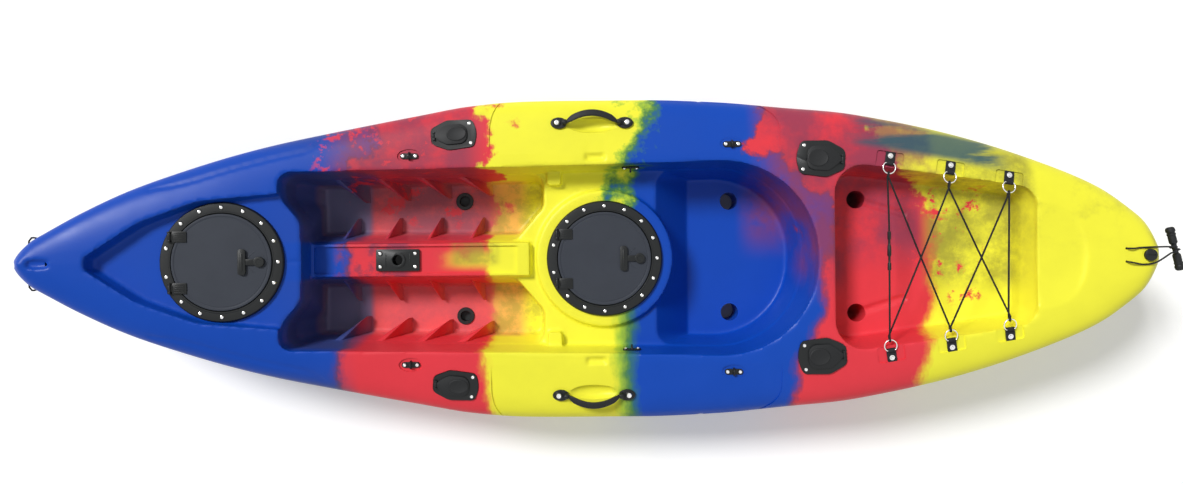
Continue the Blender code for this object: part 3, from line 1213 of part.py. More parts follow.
def slanted_tube(bm, frame, radius, top_z, sides):
    """A round bar on a rod holder's axis, square at its foot, with its head in a plane of the frame."""
    slant = Vector((math.sin(ROD_SLANT), 0.0, math.cos(ROD_SLANT)))
    level = Vector((math.cos(ROD_SLANT), 0.0, -math.sin(ROD_SLANT)))
    foot = Vector((0.0, 0.0, ROD_FLANGE_THICK)) - slant * ROD_TUBE_LENGTH
    low = []
    high = []
    for i in range(sides):
        angle = 2.0 * math.pi * i / sides
        point = foot + level * (radius * math.cos(angle)) + Vector((0.0, radius * math.sin(angle), 0.0))
        low.append(frame @ point)
        high.append(frame @ (point + slant * ((top_z - point.z) / slant.z)))
    loft(bm, [low, high])


def make_rod_holder(name, frame, length, width, parts, cutters, mats):
    """A flange with a slanted blind tube, and the rubber cap that is hinged on its narrow end."""
    black, rubber = mats
    axis = tube_axis(frame)
    top = frame @ Vector((0.0, 0.0, ROD_FLANGE_THICK))
    plate = bmesh.new()
    prism(plate, frame, holder_outline(length, width), FIT, ROD_FLANGE_THICK)
    holder = to_object(plate, name, parts, black, frame.translation)
    extras = bmesh.new()
    slanted_tube(extras, frame, ROD_TUBE_RADIUS, ROD_FLANGE_THICK - ROD_TUBE_SINK, ROD_TUBE_SIDES)
    boolean(holder, to_object(extras, f"{name}_tube", cutters), "UNION")
    ears = bmesh.new()
    hinge = Vector((length / 2.0 - ROD_HINGE_INSET, 0.0, ROD_FLANGE_THICK + ROD_STRAP_RADIUS + HINGE_LIFT))
    for side in (1, -1):
        y = side * (ROD_STRAP_LENGTH - ROD_EAR_WIDTH) / 2.0
        ear = box_plan(hinge.x, y, ROD_STRAP_RADIUS, ROD_EAR_WIDTH / 2.0)
        prism(ears, frame, ear, ROD_FLANGE_THICK - EAR_SINK, hinge.z + ROD_STRAP_RADIUS)
    boolean(holder, to_object(ears, f"{name}_ears", cutters), "UNION")
    spots = [(-length * ROD_SCREW_BACK, side * width * ROD_SCREW_OUT, ROD_FLANGE_THICK) for side in (1, -1)]
    add_screw_heads(holder, frame, spots, cutters, SCREW_HEAD_RADIUS, SCREW_HEAD_THICK)
    bore = bmesh.new()
    rod(bore, top - axis * (ROD_TUBE_LENGTH - ROD_TUBE_FLOOR), top + axis * CUT_CLEAR, ROD_BORE_RADIUS,
        ROD_TUBE_SIDES)
    boolean(holder, to_object(bore, f"{name}_bore", cutters), "DIFFERENCE")

    pad = bmesh.new()
    low = ROD_FLANGE_THICK + FIT
    wide = width * ROD_CAP_WIDTH_SHARE / 2.0
    neck = ROD_STRAP_LENGTH / 2.0 - ROD_EAR_WIDTH - FIT
    throat, throat_half = ROD_CAP_THROAT
    small, bend, shoulder, end = ROD_CAP_RADII
    starboard = [(0.0, -neck, small)]
    port = [(0.0, neck, small), (ROD_CAP_NECK, neck, small), (throat, throat_half, bend),
            (ROD_CAP_SHOULDER, wide, shoulder), (length * ROD_CAP_LENGTH_SHARE, wide, end)]
    starboard += [(back, -y, radius) for back, y, radius in reversed(port[1:])]
    corners = [(hinge.x - back, y, radius) for back, y, radius in starboard[:1] + port + starboard[1:]]
    prism(pad, frame, outline_of(corners), low, low + ROD_CAP_THICK)
    cap = to_object(pad, f"{name}_cap", parts, rubber, frame @ hinge)
    roll = bmesh.new()
    half = Vector((0.0, neck, 0.0))
    rod(roll, frame @ (hinge - half), frame @ (hinge + half), ROD_STRAP_RADIUS, 12)
    boolean(cap, to_object(roll, f"{name}_cap_roll", cutters), "UNION")
    return hinge


# Small fittings on the deck


def make_pad_eye(name, frame, parts, cutters, mat):
    """A two-screw plate with an arched wire for a strap hook."""
    bm = bmesh.new()
    prism(bm, frame, slab(PAD_EYE_LENGTH, PAD_EYE_WIDTH, PAD_EYE_WIDTH * PAD_EYE_END_SHARE), FIT, PAD_EYE_THICK)
    eye = to_object(bm, name, parts, mat, frame.translation)
    spots = [(sign * PAD_EYE_SCREW_OUT, 0.0, PAD_EYE_THICK) for sign in (1, -1)]
    add_screw_heads(eye, frame, spots, cutters, SCREW_HEAD_RADIUS, SCREW_HEAD_THICK)
    foot = PAD_EYE_THICK - PAD_EYE_ARCH_SINK
    rise = PAD_EYE_ARCH * PAD_EYE_ARCH_RISE
    arch = [frame @ Vector((0.0, PAD_EYE_ARCH * math.cos(a), foot + rise * math.sin(a)))
            for a in [math.pi * i / 5 for i in range(6)]]
    boolean(eye, hidden(tube(f"{name}_arch", arch, PAD_EYE_WIRE, cutters, mat, 1, True)), "UNION")
    return eye


def hidden(obj):
    """Mark a solid as a helper that other solids are made with."""
    obj.hide_render = True
    obj.display_type = "WIRE"
    return obj


def make_side_handle(word, frame, parts, cutters, black):
    """A carrying handle: two screwed mounts, and a moulded band that swings between them."""
    pin_z = HANDLE_MOUNT_THICK + HANDLE_KNUCKLE_RADIUS - HANDLE_KNUCKLE_SINK
    for sign, end in ((1, "bow"), (-1, "stern")):
        mount_frame = frame @ Matrix.Translation((sign * HANDLE_HALF_SPAN, 0.0, 0.0))
        bm = bmesh.new()
        prism(bm, mount_frame, oval(HANDLE_MOUNT_LENGTH, HANDLE_MOUNT_WIDTH), FIT, HANDLE_MOUNT_THICK)
        mount = to_object(bm, f"side_handle_mount_{word}_{end}", parts, black, mount_frame.translation)
        spot = (sign * HANDLE_SCREW_OUT, 0.0, HANDLE_MOUNT_THICK)
        add_screw_heads(mount, mount_frame, [spot], cutters, HANDLE_WASHER_RADIUS, HANDLE_WASHER_THICK)
        block = bmesh.new()
        inner = -sign * HANDLE_KNUCKLE_AT
        rod(block, mount_frame @ Vector((inner, 0, pin_z)),
            mount_frame @ Vector((inner + sign * HANDLE_KNUCKLE_LENGTH, 0, pin_z)), HANDLE_KNUCKLE_RADIUS, 12)
        boolean(mount, to_object(block, f"{mount.name}_block", cutters), "UNION")
        hole = bmesh.new()
        rod(hole, mount_frame @ Vector((inner - sign * HANDLE_HOLE_REACH, 0, pin_z)),
            mount_frame @ Vector((inner + sign * HANDLE_HOLE_DEPTH, 0, pin_z)), HANDLE_PIN_RADIUS + FIT, 12)
        boolean(mount, to_object(hole, f"{mount.name}_hole", cutters), "DIFFERENCE")

    reach = HANDLE_HALF_SPAN - HANDLE_KNUCKLE_AT - FIT
    rings = []
    for i in range(HANDLE_SECTIONS + 1):
        t = -1.0 + 2.0 * i / HANDLE_SECTIONS
        bulge = math.cos(t * math.pi / 2.0) ** HANDLE_BOW_FULLNESS
        middle = Vector((t * reach, HANDLE_BOW * bulge, pin_z + HANDLE_RISE * bulge))
        slope = 0.0
        if 0 < i < HANDLE_SECTIONS:
            slope = math.atan2(-HANDLE_BOW * math.sin(t * math.pi / 2.0) * math.pi / 2.0, reach)
        across = Vector((-math.sin(slope), math.cos(slope), 0.0))
        widening = min(1.0, (1.0 - abs(t)) * HANDLE_END_REACH)
        wide = HANDLE_BAND_WIDTH / 2.0 * (HANDLE_END_SHARE + (1.0 - HANDLE_END_SHARE) * widening)
        thick = HANDLE_BAND_THICK / 2.0
        flat = wide * HANDLE_FLAT_SHARE
        edge = -thick * HANDLE_EDGE_DROP
        corners = [(wide, edge), (flat, thick), (-flat, thick), (-wide, edge), (-flat, -thick), (flat, -thick)]
        rings.append([frame @ (middle + across * u + Vector((0, 0, v))) for u, v in corners])
    bm = bmesh.new()
    loft(bm, rings)
    band = to_object(bm, f"side_handle_{word}", parts, black, frame @ Vector((0.0, 0.0, pin_z)))
    pins = bmesh.new()
    for sign in (1, -1):
        rod(pins, frame @ Vector((sign * (reach - HANDLE_PIN_ROOT), 0, pin_z)),
            frame @ Vector((sign * (reach + HANDLE_PIN_REACH), 0, pin_z)), HANDLE_PIN_RADIUS, 12)
    boolean(band, to_object(pins, f"side_handle_pins_{word}", cutters), "UNION")


def tie_eye_z():
    """The height of the ring's wire above the floor of its pad."""
    return TIE_RECESS_DEPTH + RING_LIFT


def make_tie_down(number, word, frame, parts, cutters, mats):
    """A folded webbing tab under one screw, and the steel ring that it holds."""
    webbing, steel = mats
    length = TIE_EYE_AT + TIE_FOLD_RADIUS * TIE_FOLD_OVERLAP + TIE_TAB_TAIL
    bm = bmesh.new()
    plate = frame @ Matrix.Translation((0.0, length / 2.0 - TIE_TAB_TAIL, 0.0))
    prism(bm, plate, slab(TIE_TAB_WIDTH, length, TIE_TAB_CORNER), FIT, TIE_TAB_THICK)
    tab = to_object(bm, f"tie_down_{number}_tab_{word}", parts, webbing, frame.translation)
    eye = Vector((0.0, TIE_EYE_AT, tie_eye_z()))
    along = Vector((1.0, 0.0, 0.0))
    fold = bmesh.new()
    half = along * (TIE_FOLD_LENGTH / 2.0)
    rod(fold, frame @ (eye - half), frame @ (eye + half), TIE_FOLD_RADIUS, 14)
    boolean(tab, to_object(fold, f"{tab.name}_fold", cutters), "UNION")
    spot = (0.0, 0.0, TIE_TAB_THICK)
    add_screw_heads(tab, frame, [spot], cutters, SCREW_HEAD_RADIUS, SCREW_HEAD_THICK)
    bore = bmesh.new()
    reach = along * TIE_TAB_WIDTH
    rod(bore, frame @ (eye - reach), frame @ (eye + reach), RING_WIRE + RING_HOLE_CLEARANCE, 12)
    boolean(tab, to_object(bore, f"{tab.name}_bore", cutters), "DIFFERENCE")
    make_ring(f"tie_down_{number}_ring_{word}", frame @ Matrix.Translation(eye), parts, steel)


def make_ring(name, frame, parts, mat):
    """A wire ring shaped like a D: its straight side lies through the fold of the tab."""
    corner = math.asin(RING_OFFSET / RING_RADIUS)
    sweep = math.pi + 2.0 * corner
    count = 14
    path = [(RING_RADIUS * math.cos(-corner + sweep * i / count),
             RING_OFFSET + RING_RADIUS * math.sin(-corner + sweep * i / count)) for i in range(count + 1)]
    path.append((0.0, 0.0))
    sides = 5
    bm = bmesh.new()
    loops = []
    for i, (u, v) in enumerate(path):
        ahead = Vector(path[(i + 1) % len(path)])
        behind = Vector(path[i - 1])
        along = (ahead - behind).normalized()
        out = Vector((along.y, -along.x))
        loop = []
        for k in range(sides):
            a = 2.0 * math.pi * k / sides
            flat = Vector((u, v)) + out * (math.cos(a) * RING_WIRE)
            loop.append(bm.verts.new(frame @ Vector((flat.x, flat.y, math.sin(a) * RING_WIRE))))
        loops.append(loop)
    for near, far in zip(loops, loops[1:] + loops[:1]):
        for i in range(sides):
            j = (i + 1) % sides
            bm.faces.new((near[i], near[j], far[j], far[i]))
    return to_object(bm, name, parts, mat, frame.translation)


def bungee_route(frames):
    """The cord's route through the rings, from one end of its connector to the other."""
    order = [(1, "port"), (2, "starboard"), (3, "port"), (3, "starboard"), (2, "port"), (1, "starboard")]
    turn_radius = RING_WIRE + BUNGEE_RADIUS + BUNGEE_RING_CLEARANCE
    inner = TIE_EYE_AT + RING_OFFSET + RING_RADIUS
    height = tie_eye_z()
    ends = []
    for key in order:
        frame = frames[key]
        ends.append([frame @ Vector((0.0, inner + turn_radius * across, height + turn_radius * up))
                     for across, up in BUNGEE_TURN])
    first = (ends[0][3] + ends[-1][3]) / 2.0
    toward = (ends[0][3] - ends[-1][3]).normalized()
    centre = Vector((first.x, CONNECTOR_Y, first.z))
    gap = CONNECTOR_LENGTH / 2.0 + FIT
    route = [centre + toward * gap, centre + toward * (gap + BUNGEE_STRAIGHT)]
    over = 1.0
    for i, turn in enumerate(ends):
        if i:
            start = route[-1]
            middle = (start + turn[0]) / 2.0
            if i != 3:
                middle.z += over * CROSSING_RISE
                over = -over
            route += [start.lerp(middle, 0.5), middle, turn[0].lerp(middle, 0.5)]
        route += turn
    route += [centre - toward * (gap + BUNGEE_STRAIGHT), centre - toward * gap]
    return centre, toward, route


def make_bungee(frames, parts, cutters, mats):
    """The shock cord laced through six rings, and the connector that joins its ends."""
    black, cord_mat = mats
    centre, toward, route = bungee_route(frames)
    tube("bungee_cord", route, BUNGEE_RADIUS, parts, cord_mat)
    turn = toward.to_track_quat("Z", "Y").to_matrix().to_4x4()
    profile = [(radius, share * CONNECTOR_LENGTH / 2.0) for share, radius in reversed(CONNECTOR_PROFILE)]
    bm = bmesh.new()
    turned(bm, Matrix.Translation(centre) @ turn, profile, 10)
    return to_object(bm, "bungee_connector", parts, black, centre)


# Console base, strap eyes, plugs, toggle and cords


def base_frame():
    """The frame of the accessory base, on the floor of the console's panel."""
    return Matrix.Translation((forward(BASE_X), 0.0, CONSOLE_TOP_Z - CONSOLE_PANEL_DEPTH))


def make_accessory_base(frame, parts, cutters, mat):
    """A screwed plate with a blind round socket for a rod holder or a mount."""
    bm = bmesh.new()
    prism(bm, frame, slab(BASE_LENGTH, BASE_WIDTH, BASE_CORNER), FIT, BASE_THICK)
    base = to_object(bm, "accessory_base", parts, mat, frame.translation)
    cup = bmesh.new()
    rod(cup, frame @ Vector((0, 0, -BASE_SOCKET_DEPTH)),
        frame @ Vector((0, 0, BASE_THICK + BASE_RIM_HEIGHT)), BASE_RIM_RADIUS, 24)
    boolean(base, to_object(cup, "accessory_base_cup", cutters), "UNION")
    out = BASE_LENGTH / 2.0 - BASE_SCREW_INSET
    aside_by = BASE_WIDTH / 2.0 - BASE_SCREW_INSET
    spots = [(x * out, y * aside_by, BASE_THICK) for x in (1, -1) for y in (1, -1)]
    add_screw_heads(base, frame, spots, cutters, SCREW_HEAD_RADIUS, SCREW_HEAD_THICK)
    bore = bmesh.new()
    rod(bore, frame @ Vector((0, 0, BASE_SOCKET_FLOOR - BASE_SOCKET_DEPTH)), frame @ Vector((0, 0, CUT_CLEAR)),
        BASE_SOCKET_RADIUS, 24)
    boolean(base, to_object(bore, "accessory_base_bore", cutters), "DIFFERENCE")
    return base


def strap_eye_frames():
    """The frames of the seat straps' eyes, on the side walls of the cockpit with Z inboard."""
    frames = {}
    wall = platform_half_width(STRAP_EYE_X)
    lean = math.atan2(COCKPIT_WALL_LEAN, COCKPIT_RIM_Z - PLATFORM_Z)
    y = wall + (STRAP_EYE_Z - PLATFORM_Z) * math.tan(lean)
    ahead = Vector((1.0, 0.0, 0.0))
    for side, word in ((1, "port"), (-1, "starboard")):
        inboard = Vector((0.0, -side * math.cos(lean), math.sin(lean)))
        turn = Matrix((ahead, inboard.cross(ahead), inboard)).transposed().to_4x4()
        place = Vector((forward(STRAP_EYE_X), side * y, STRAP_EYE_Z)) + inboard * STRAP_EYE_CLEARANCE
        frames[f"seat_strap_eye_{word}"] = Matrix.Translation(place) @ turn
    return frames


def make_scupper_plug(name, x, y, floor, parts, mat):
    """A rubber plug with a flange and a pull boss, pushed into a scupper."""
    shank = FOOT_SCUPPER_RADIUS - PLUG_CLEARANCE
    top = floor + PLUG_FLANGE_THICK
    foot = floor - PLUG_LENGTH
    rim, hollow, dish = PLUG_DISH
    profile = [(0.0, top - dish), (0.0, foot), (shank * PLUG_TAPER, foot), (shank, floor + FIT),
               (PLUG_FLANGE_RADIUS, floor + FIT), (PLUG_FLANGE_RADIUS, top - PLUG_EDGE / 2.0),
               (PLUG_FLANGE_RADIUS - PLUG_EDGE, top), (shank * rim, top), (shank * hollow, top - dish)]
    bm = bmesh.new()
    turned(bm, Matrix.Translation((x, y, 0.0)), profile, 20)
    return to_object(bm, name, parts, mat, Vector((x, y, floor)))


def drain_pad(sides):
    """The outline of the flat spot under the drain plug."""
    across = 2.0 * (DRAIN_HEAD_RADIUS + DRAIN_PAD_MARGIN)
    return oval(across, across, sides)


def drain_frame():
    """The frame of the drain plug, on a flat spot of the stern deck."""
    return deck_frame(forward(DRAIN_X), 0.0, 0.0, drain_pad(12))


def make_drain_plug(frame, parts, cutters, mats):
    """The drain plug and the washer that it clamps."""
    black, rubber = mats
    seal = bmesh.new()
    inner = DRAIN_SHANK_RADIUS + DRAIN_SEAL_GAP
    outer = DRAIN_HEAD_RADIUS - DRAIN_SEAL_INSET
    top = FIT + DRAIN_SEAL_THICK
    turned(seal, frame, [(inner, top), (inner, FIT), (outer, FIT), (outer, top)], 20)
    to_object(seal, "drain_plug_seal", parts, rubber, frame.translation)
    low = top + FIT
    head = low + DRAIN_HEAD_THICK
    foot = low - DRAIN_SHANK_LENGTH
    taper, rise = DRAIN_TAPER
    profile = [(0.0, head), (0.0, foot), (DRAIN_SHANK_RADIUS * taper, foot), (DRAIN_SHANK_RADIUS, foot + rise),
               (DRAIN_SHANK_RADIUS, low), (DRAIN_HEAD_RADIUS, low),
               (DRAIN_HEAD_RADIUS, head - DRAIN_HEAD_CHAMFER), (DRAIN_HEAD_RADIUS - DRAIN_HEAD_CHAMFER, head)]
    bm = bmesh.new()
    turned(bm, frame, profile, 20)
    plug = to_object(bm, "drain_plug", parts, black, frame.translation)
    slot = bmesh.new()
    share, wide, deep = DRAIN_SLOT
    prism(slot, frame, slab(DRAIN_HEAD_RADIUS * share, wide, DRAIN_SLOT_CORNER), head - deep, head + CUT_CLEAR)
    boolean(plug, to_object(slot, "drain_plug_slot", cutters), "DIFFERENCE")
    return plug


def toggle_centre():
    """The middle of the stern toggle, just off the hull's tip."""
    tip = -LENGTH / 2.0
    return Vector((tip - TOGGLE_OUT, TOGGLE_Y, deck_z(tip, 0.0) - TOGGLE_DROP))


def toggle_frame():
    """The frame of the stern toggle: X along the grip."""
    turn = Matrix.Rotation(math.pi / 2.0 + TOGGLE_YAW, 4, "Z")
    return Matrix.Translation(toggle_centre()) @ turn


def make_toggle(parts, mat):
    """A moulded grip with swollen ends and a waist for its cord."""
    half = TOGGLE_LENGTH / 2.0
    profile = [(TOGGLE_END_RADIUS * share, inward - half) for inward, share in TOGGLE_END]
    profile += [(TOGGLE_GRIP_RADIUS, -TOGGLE_WAIST_HALF * TOGGLE_WAIST_TAPER),
                (TOGGLE_WAIST_RADIUS, -TOGGLE_WAIST_HALF)]
    profile += [(r, -z) for r, z in reversed(profile)]
    profile.reverse()
    frame = toggle_frame() @ Matrix.Rotation(math.pi / 2.0, 4, "Y")
    bm = bmesh.new()
    turned(bm, frame, profile, 16)
    return to_object(bm, "stern_toggle", parts, mat, toggle_centre())


def stern_cord_route():
    """From the port hole round the drain plug, over the tip, once round the toggle's waist and back."""
    hole_x = forward(STERN_CORD_HOLE[0])
    hole_y = STERN_CORD_HOLE[1]
    tip = -LENGTH / 2.0
    rest = CORD_RADIUS + CORD_LIFT
    top = deck_z(tip, 0.0) + rest
    waist = toggle_centre()
    wrap = TOGGLE_WAIST_RADIUS + CORD_RADIUS + TOGGLE_WRAP_CLEARANCE

    def on_deck(x, y, lift=0.0):
        return Vector((x, y, deck_z(x, y) + rest + lift))

    route = [on_deck(hole_x, hole_y, -CORD_TUCK - rest), on_deck(hole_x, hole_y, -rest)]
    route += [on_deck(hole_x - back, hole_y + out, lift) for back, out, lift in STERN_CORD_OUT]
    route += [on_deck(tip + ahead, TOGGLE_Y + out, lift) for ahead, out, lift in STERN_CORD_TO_TIP]
    route.append(Vector((tip - STERN_CORD_OVER[0], TOGGLE_Y + STERN_CORD_OVER[1], top + STERN_CORD_OVER[2])))
    start, sweep = STERN_CORD_TURN
    for i in range(STERN_CORD_TURN_POINTS + 1):
        share = i / STERN_CORD_TURN_POINTS
        angle = start + sweep * share
        y = TOGGLE_Y + STERN_CORD_TURN_RISE * (0.5 - share)
        route.append(Vector((waist.x + wrap * math.cos(angle), y, waist.z + wrap * math.sin(angle))))
    front = waist.x + wrap
    (near, near_y, near_z), (mid, mid_y, mid_z), (far, far_y, far_z) = STERN_CORD_UP
    route += [Vector((front + near, TOGGLE_Y - near_y, waist.z + near_z)),
              Vector((front + mid, TOGGLE_Y - mid_y, top - mid_z)),
              Vector((tip - far, TOGGLE_Y - far_y, top + far_z))]
    route += [on_deck(tip + ahead, TOGGLE_Y - inboard, lift) for ahead, inboard, lift in STERN_CORD_FROM_TIP]
    route += [on_deck(hole_x - back, -hole_y - out, lift) for back, out, lift in STERN_CORD_IN]
    route += [on_deck(hole_x, -hole_y, -rest), on_deck(hole_x, -hole_y, -CORD_TUCK - rest)]
    return route


def bow_cord_route():
    """A grab loop that hangs from both sides of the nose and passes under the stem."""
    x = forward(BOW_CORD_X)
    z = bow_cord_z()
    wide = half_beam(x)
    keel = line_value(KEEL_LINE, x)
    side = [(wide - CORD_TUCK, z), (wide, z)]
    side += [(wide + out, z - down) for out, down in BOW_CORD_FALL]
    side.append((wide - BOW_CORD_UNDER[0], keel - BOW_CORD_UNDER[1]))
    bottom = Vector((x - BOW_CORD_AFT, 0.0, keel - BOW_CORD_DROP))
    return ([Vector((x, y, h)) for y, h in side] + [bottom]
            + [Vector((x, -y, h)) for y, h in reversed(side)])


def bow_cord_z():
    """The height of the cord's hole through the nose."""
    return line_value(SEAM_LINE, forward(BOW_CORD_X)) + BOW_CORD_LIFT


def main():
    """Build the whole kayak."""
    clear_scene()
    parts = collection("kayak")
    cutters = collection("cutters")
    hull_mat = material("hull_plastic", BLUE, 0.42)
    black = material("black_plastic", BLACK, 0.45)
    grey = material("dark_plastic", DARK_GREY, 0.55)
    rubber = material("rubber", BLACK, 0.75)
    webbing = material("webbing", BLACK, 0.85)
    steel = material("stainless_steel", STEEL, 0.30, 1.0)
    cord = material("cord", BLACK, 0.80)

    places = {"hatches": hatch_frames(), "holders": rod_holders(), "pad_eyes": pad_eye_frames(),
              "strap_eyes": strap_eye_frames(), "handles": handle_frames(), "ties": tie_frames(),
              "drain": drain_frame(), "base": base_frame()}
    make_hull(parts, cutters, places, hull_mat)
    for name, frame in places["hatches"].items():
        make_hatch(name, frame, parts, cutters, (black, rubber, steel))
    for name, (frame, length, width) in places["holders"].items():
        make_rod_holder(name, frame, length, width, parts, cutters, (black, rubber))
    for name, frame in (places["pad_eyes"] | places["strap_eyes"]).items():
        make_pad_eye(name, frame, parts, cutters, black)
    for word, frame in places["handles"].items():
        make_side_handle(word, frame, parts, cutters, black)
    for (number, word), frame in places["ties"].items():
        make_tie_down(number, word, frame, parts, cutters, (webbing, steel))
    make_bungee(places["ties"], parts, cutters, (black, cord))
    make_accessory_base(places["base"], parts, cutters, black)
    for side, word in ((1, "port"), (-1, "starboard")):
        x, y = forward(FOOT_SCUPPER[0]), side * aside(FOOT_SCUPPER[1])
        make_scupper_plug(f"scupper_plug_{word}", x, y, FOOTWELL_FLOOR_Z, parts, rubber)
    make_drain_plug(places["drain"], parts, cutters, (black, rubber))
    make_toggle(parts, grey)
    stern_spacing, bow_spacing = CORD_SPACING
    tube("stern_toggle_cord", smooth(stern_cord_route(), stern_spacing), CORD_RADIUS, parts, cord)
    tube("bow_grab_cord", smooth(bow_cord_route(), bow_spacing), CORD_RADIUS, parts, cord)


main()
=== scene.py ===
"""The looks of a sit-on-top kayak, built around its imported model.

Metres, +Z up, +X to the bow, +Y to port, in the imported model's own frame.
"""
import json
import math

import bmesh
import bpy
from mathutils import Matrix, Vector

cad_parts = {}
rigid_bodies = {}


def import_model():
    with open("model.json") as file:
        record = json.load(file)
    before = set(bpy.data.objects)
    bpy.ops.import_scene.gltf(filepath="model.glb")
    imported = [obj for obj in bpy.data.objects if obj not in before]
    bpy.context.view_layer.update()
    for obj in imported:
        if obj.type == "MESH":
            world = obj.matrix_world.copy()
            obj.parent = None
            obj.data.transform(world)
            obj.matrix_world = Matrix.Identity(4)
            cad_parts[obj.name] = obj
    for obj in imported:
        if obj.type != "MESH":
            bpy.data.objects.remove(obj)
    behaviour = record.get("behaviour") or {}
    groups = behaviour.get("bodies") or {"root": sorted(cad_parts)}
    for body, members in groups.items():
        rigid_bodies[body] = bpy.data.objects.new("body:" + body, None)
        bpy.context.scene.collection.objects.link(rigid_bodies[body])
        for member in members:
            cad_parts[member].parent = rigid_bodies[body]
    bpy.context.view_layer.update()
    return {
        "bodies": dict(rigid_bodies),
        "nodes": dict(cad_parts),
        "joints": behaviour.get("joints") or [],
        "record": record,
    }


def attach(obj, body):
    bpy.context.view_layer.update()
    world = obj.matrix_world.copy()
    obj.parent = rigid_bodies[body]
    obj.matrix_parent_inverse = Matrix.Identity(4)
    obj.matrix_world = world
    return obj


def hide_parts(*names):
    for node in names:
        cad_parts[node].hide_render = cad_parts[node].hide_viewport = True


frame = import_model()


# The photographer stands on a step and holds the camera level above the cockpit, with a wide lens. The
# picture's left is the bow, its lower edge is the port side, and the hull lies turned in it by half a degree.
PICTURE_WIDTH = 1183
FOCAL_PIXELS = 880.0
SENSOR_WIDTH = 36.0
EYE_HEIGHT = 2.4
EYE_ASIDE = -0.041
PICTURE_ROLL = 0.0085

camera_data = bpy.data.cameras.new("camera")
camera_data.sensor_width = SENSOR_WIDTH
camera_data.lens = SENSOR_WIDTH * FOCAL_PIXELS / PICTURE_WIDTH
camera = bpy.data.objects.new("camera", camera_data)
camera.location = (0.0, EYE_ASIDE, EYE_HEIGHT)
camera.rotation_euler = (0.0, 0.0, math.pi - PICTURE_ROLL)
bpy.context.scene.collection.objects.link(camera)
bpy.context.scene.camera = camera
bpy.context.scene.view_settings.view_transform = "Standard"


# A white studio: a wide pale floor, an even white sky, one broad soft light from over the starboard bow, and
# a weak one from the other side. What the camera sees past the floor is white, and so is what shines in steel.
SKY_LEVEL = 0.30
KEY_LEVEL = 2.70
FILL_LEVEL = 0.18
KEY_AIM = (-0.66, 0.56, -1.0)
FILL_AIM = (0.55, -0.70, -0.9)
FLOOR_SIZE = 14.0
FLOOR_DROP = 0.0004
FLOOR_GLOW = 0.24       # lifts the floor to white, but not under the hull
SHADE_LENGTH = 1.33     # the half axes of the oval in which the floor isn't lifted
SHADE_WIDTH = 0.37
WHITE = (1.0, 1.0, 1.0, 1.0)


def add_node(tree, kind, settings=(), **values):
    """A shader node with its settings and the values of its inputs, whose names have spaces for underscores."""
    made = tree.nodes.new(kind)
    for key, value in dict(settings).items():
        setattr(made, key, value)
    for key, value in values.items():
        made.inputs[key.replace("_", " ")].default_value = value
    return made


def soft_sun(name, level, spread, aim):
    """A sun with soft shadows that shines along a direction."""
    data = bpy.data.lights.new(name, "SUN")
    data.energy = level
    data.angle = spread
    lamp = bpy.data.objects.new(name, data)
    lamp.rotation_euler = Vector(aim).to_track_quat("-Z", "Y").to_euler()
    bpy.context.scene.collection.objects.link(lamp)


soft_sun("key_light", KEY_LEVEL, math.radians(15.0), KEY_AIM)
soft_sun("fill_light", FILL_LEVEL, math.radians(60.0), FILL_AIM)
world = bpy.data.worlds.new("studio")
world.use_nodes = True
sky = world.node_tree
sky.nodes.clear()
seen = add_node(sky, "ShaderNodeLightPath")
either = add_node(sky, "ShaderNodeMath", {"operation": "MAXIMUM"})
any_view = add_node(sky, "ShaderNodeMath", {"operation": "MAXIMUM"})
light = add_node(sky, "ShaderNodeBackground", Color=WHITE, Strength=SKY_LEVEL)
white = add_node(sky, "ShaderNodeBackground", Color=WHITE, Strength=1.0)
choice = add_node(sky, "ShaderNodeMixShader")
out = add_node(sky, "ShaderNodeOutputWorld")
sky.links.new(seen.outputs["Is Camera Ray"], either.inputs[0])
sky.links.new(seen.outputs["Is Glossy Ray"], either.inputs[1])
sky.links.new(either.outputs[0], any_view.inputs[0])
sky.links.new(seen.outputs["Is Transmission Ray"], any_view.inputs[1])
sky.links.new(any_view.outputs[0], choice.inputs[0])
sky.links.new(light.outputs[0], choice.inputs[1])
sky.links.new(white.outputs[0], choice.inputs[2])
sky.links.new(choice.outputs[0], out.inputs["Surface"])
bpy.context.scene.world = world

floor_paint = bpy.data.materials.new("studio_floor")
floor_paint.use_nodes = True
floor_nodes = floor_paint.node_tree
floor_shader = floor_nodes.nodes["Principled BSDF"]
floor_shader.inputs["Base Color"].default_value = (0.86, 0.86, 0.86, 1.0)
floor_shader.inputs["Roughness"].default_value = 0.9
floor_shader.inputs["Emission Color"].default_value = WHITE
glow = add_node(floor_nodes, "ShaderNodeLightPath")
lift = add_node(floor_nodes, "ShaderNodeMath", {"operation": "MULTIPLY"})
place = add_node(floor_nodes, "ShaderNodeTexCoord")
shrink = add_node(floor_nodes, "ShaderNodeMapping", Scale=(1.0 / SHADE_LENGTH, 1.0 / SHADE_WIDTH, 0.0))
distance = add_node(floor_nodes, "ShaderNodeVectorMath", {"operation": "LENGTH"})
clear = add_node(floor_nodes, "ShaderNodeMapRange", From_Min=0.85, From_Max=1.02, To_Max=FLOOR_GLOW)
floor_nodes.links.new(place.outputs["Object"], shrink.inputs["Vector"])
floor_nodes.links.new(shrink.outputs["Vector"], distance.inputs[0])
floor_nodes.links.new(distance.outputs["Value"], clear.inputs["Value"])
floor_nodes.links.new(clear.outputs["Result"], lift.inputs[1])
floor_nodes.links.new(glow.outputs["Is Camera Ray"], lift.inputs[0])
floor_nodes.links.new(lift.outputs[0], floor_shader.inputs["Emission Strength"])
floor_bm = bmesh.new()
bmesh.ops.create_grid(floor_bm, x_segments=1, y_segments=1, size=FLOOR_SIZE,
                      matrix=Matrix.Translation((0, 0, -FLOOR_DROP)))
floor_mesh = bpy.data.meshes.new("studio_floor")
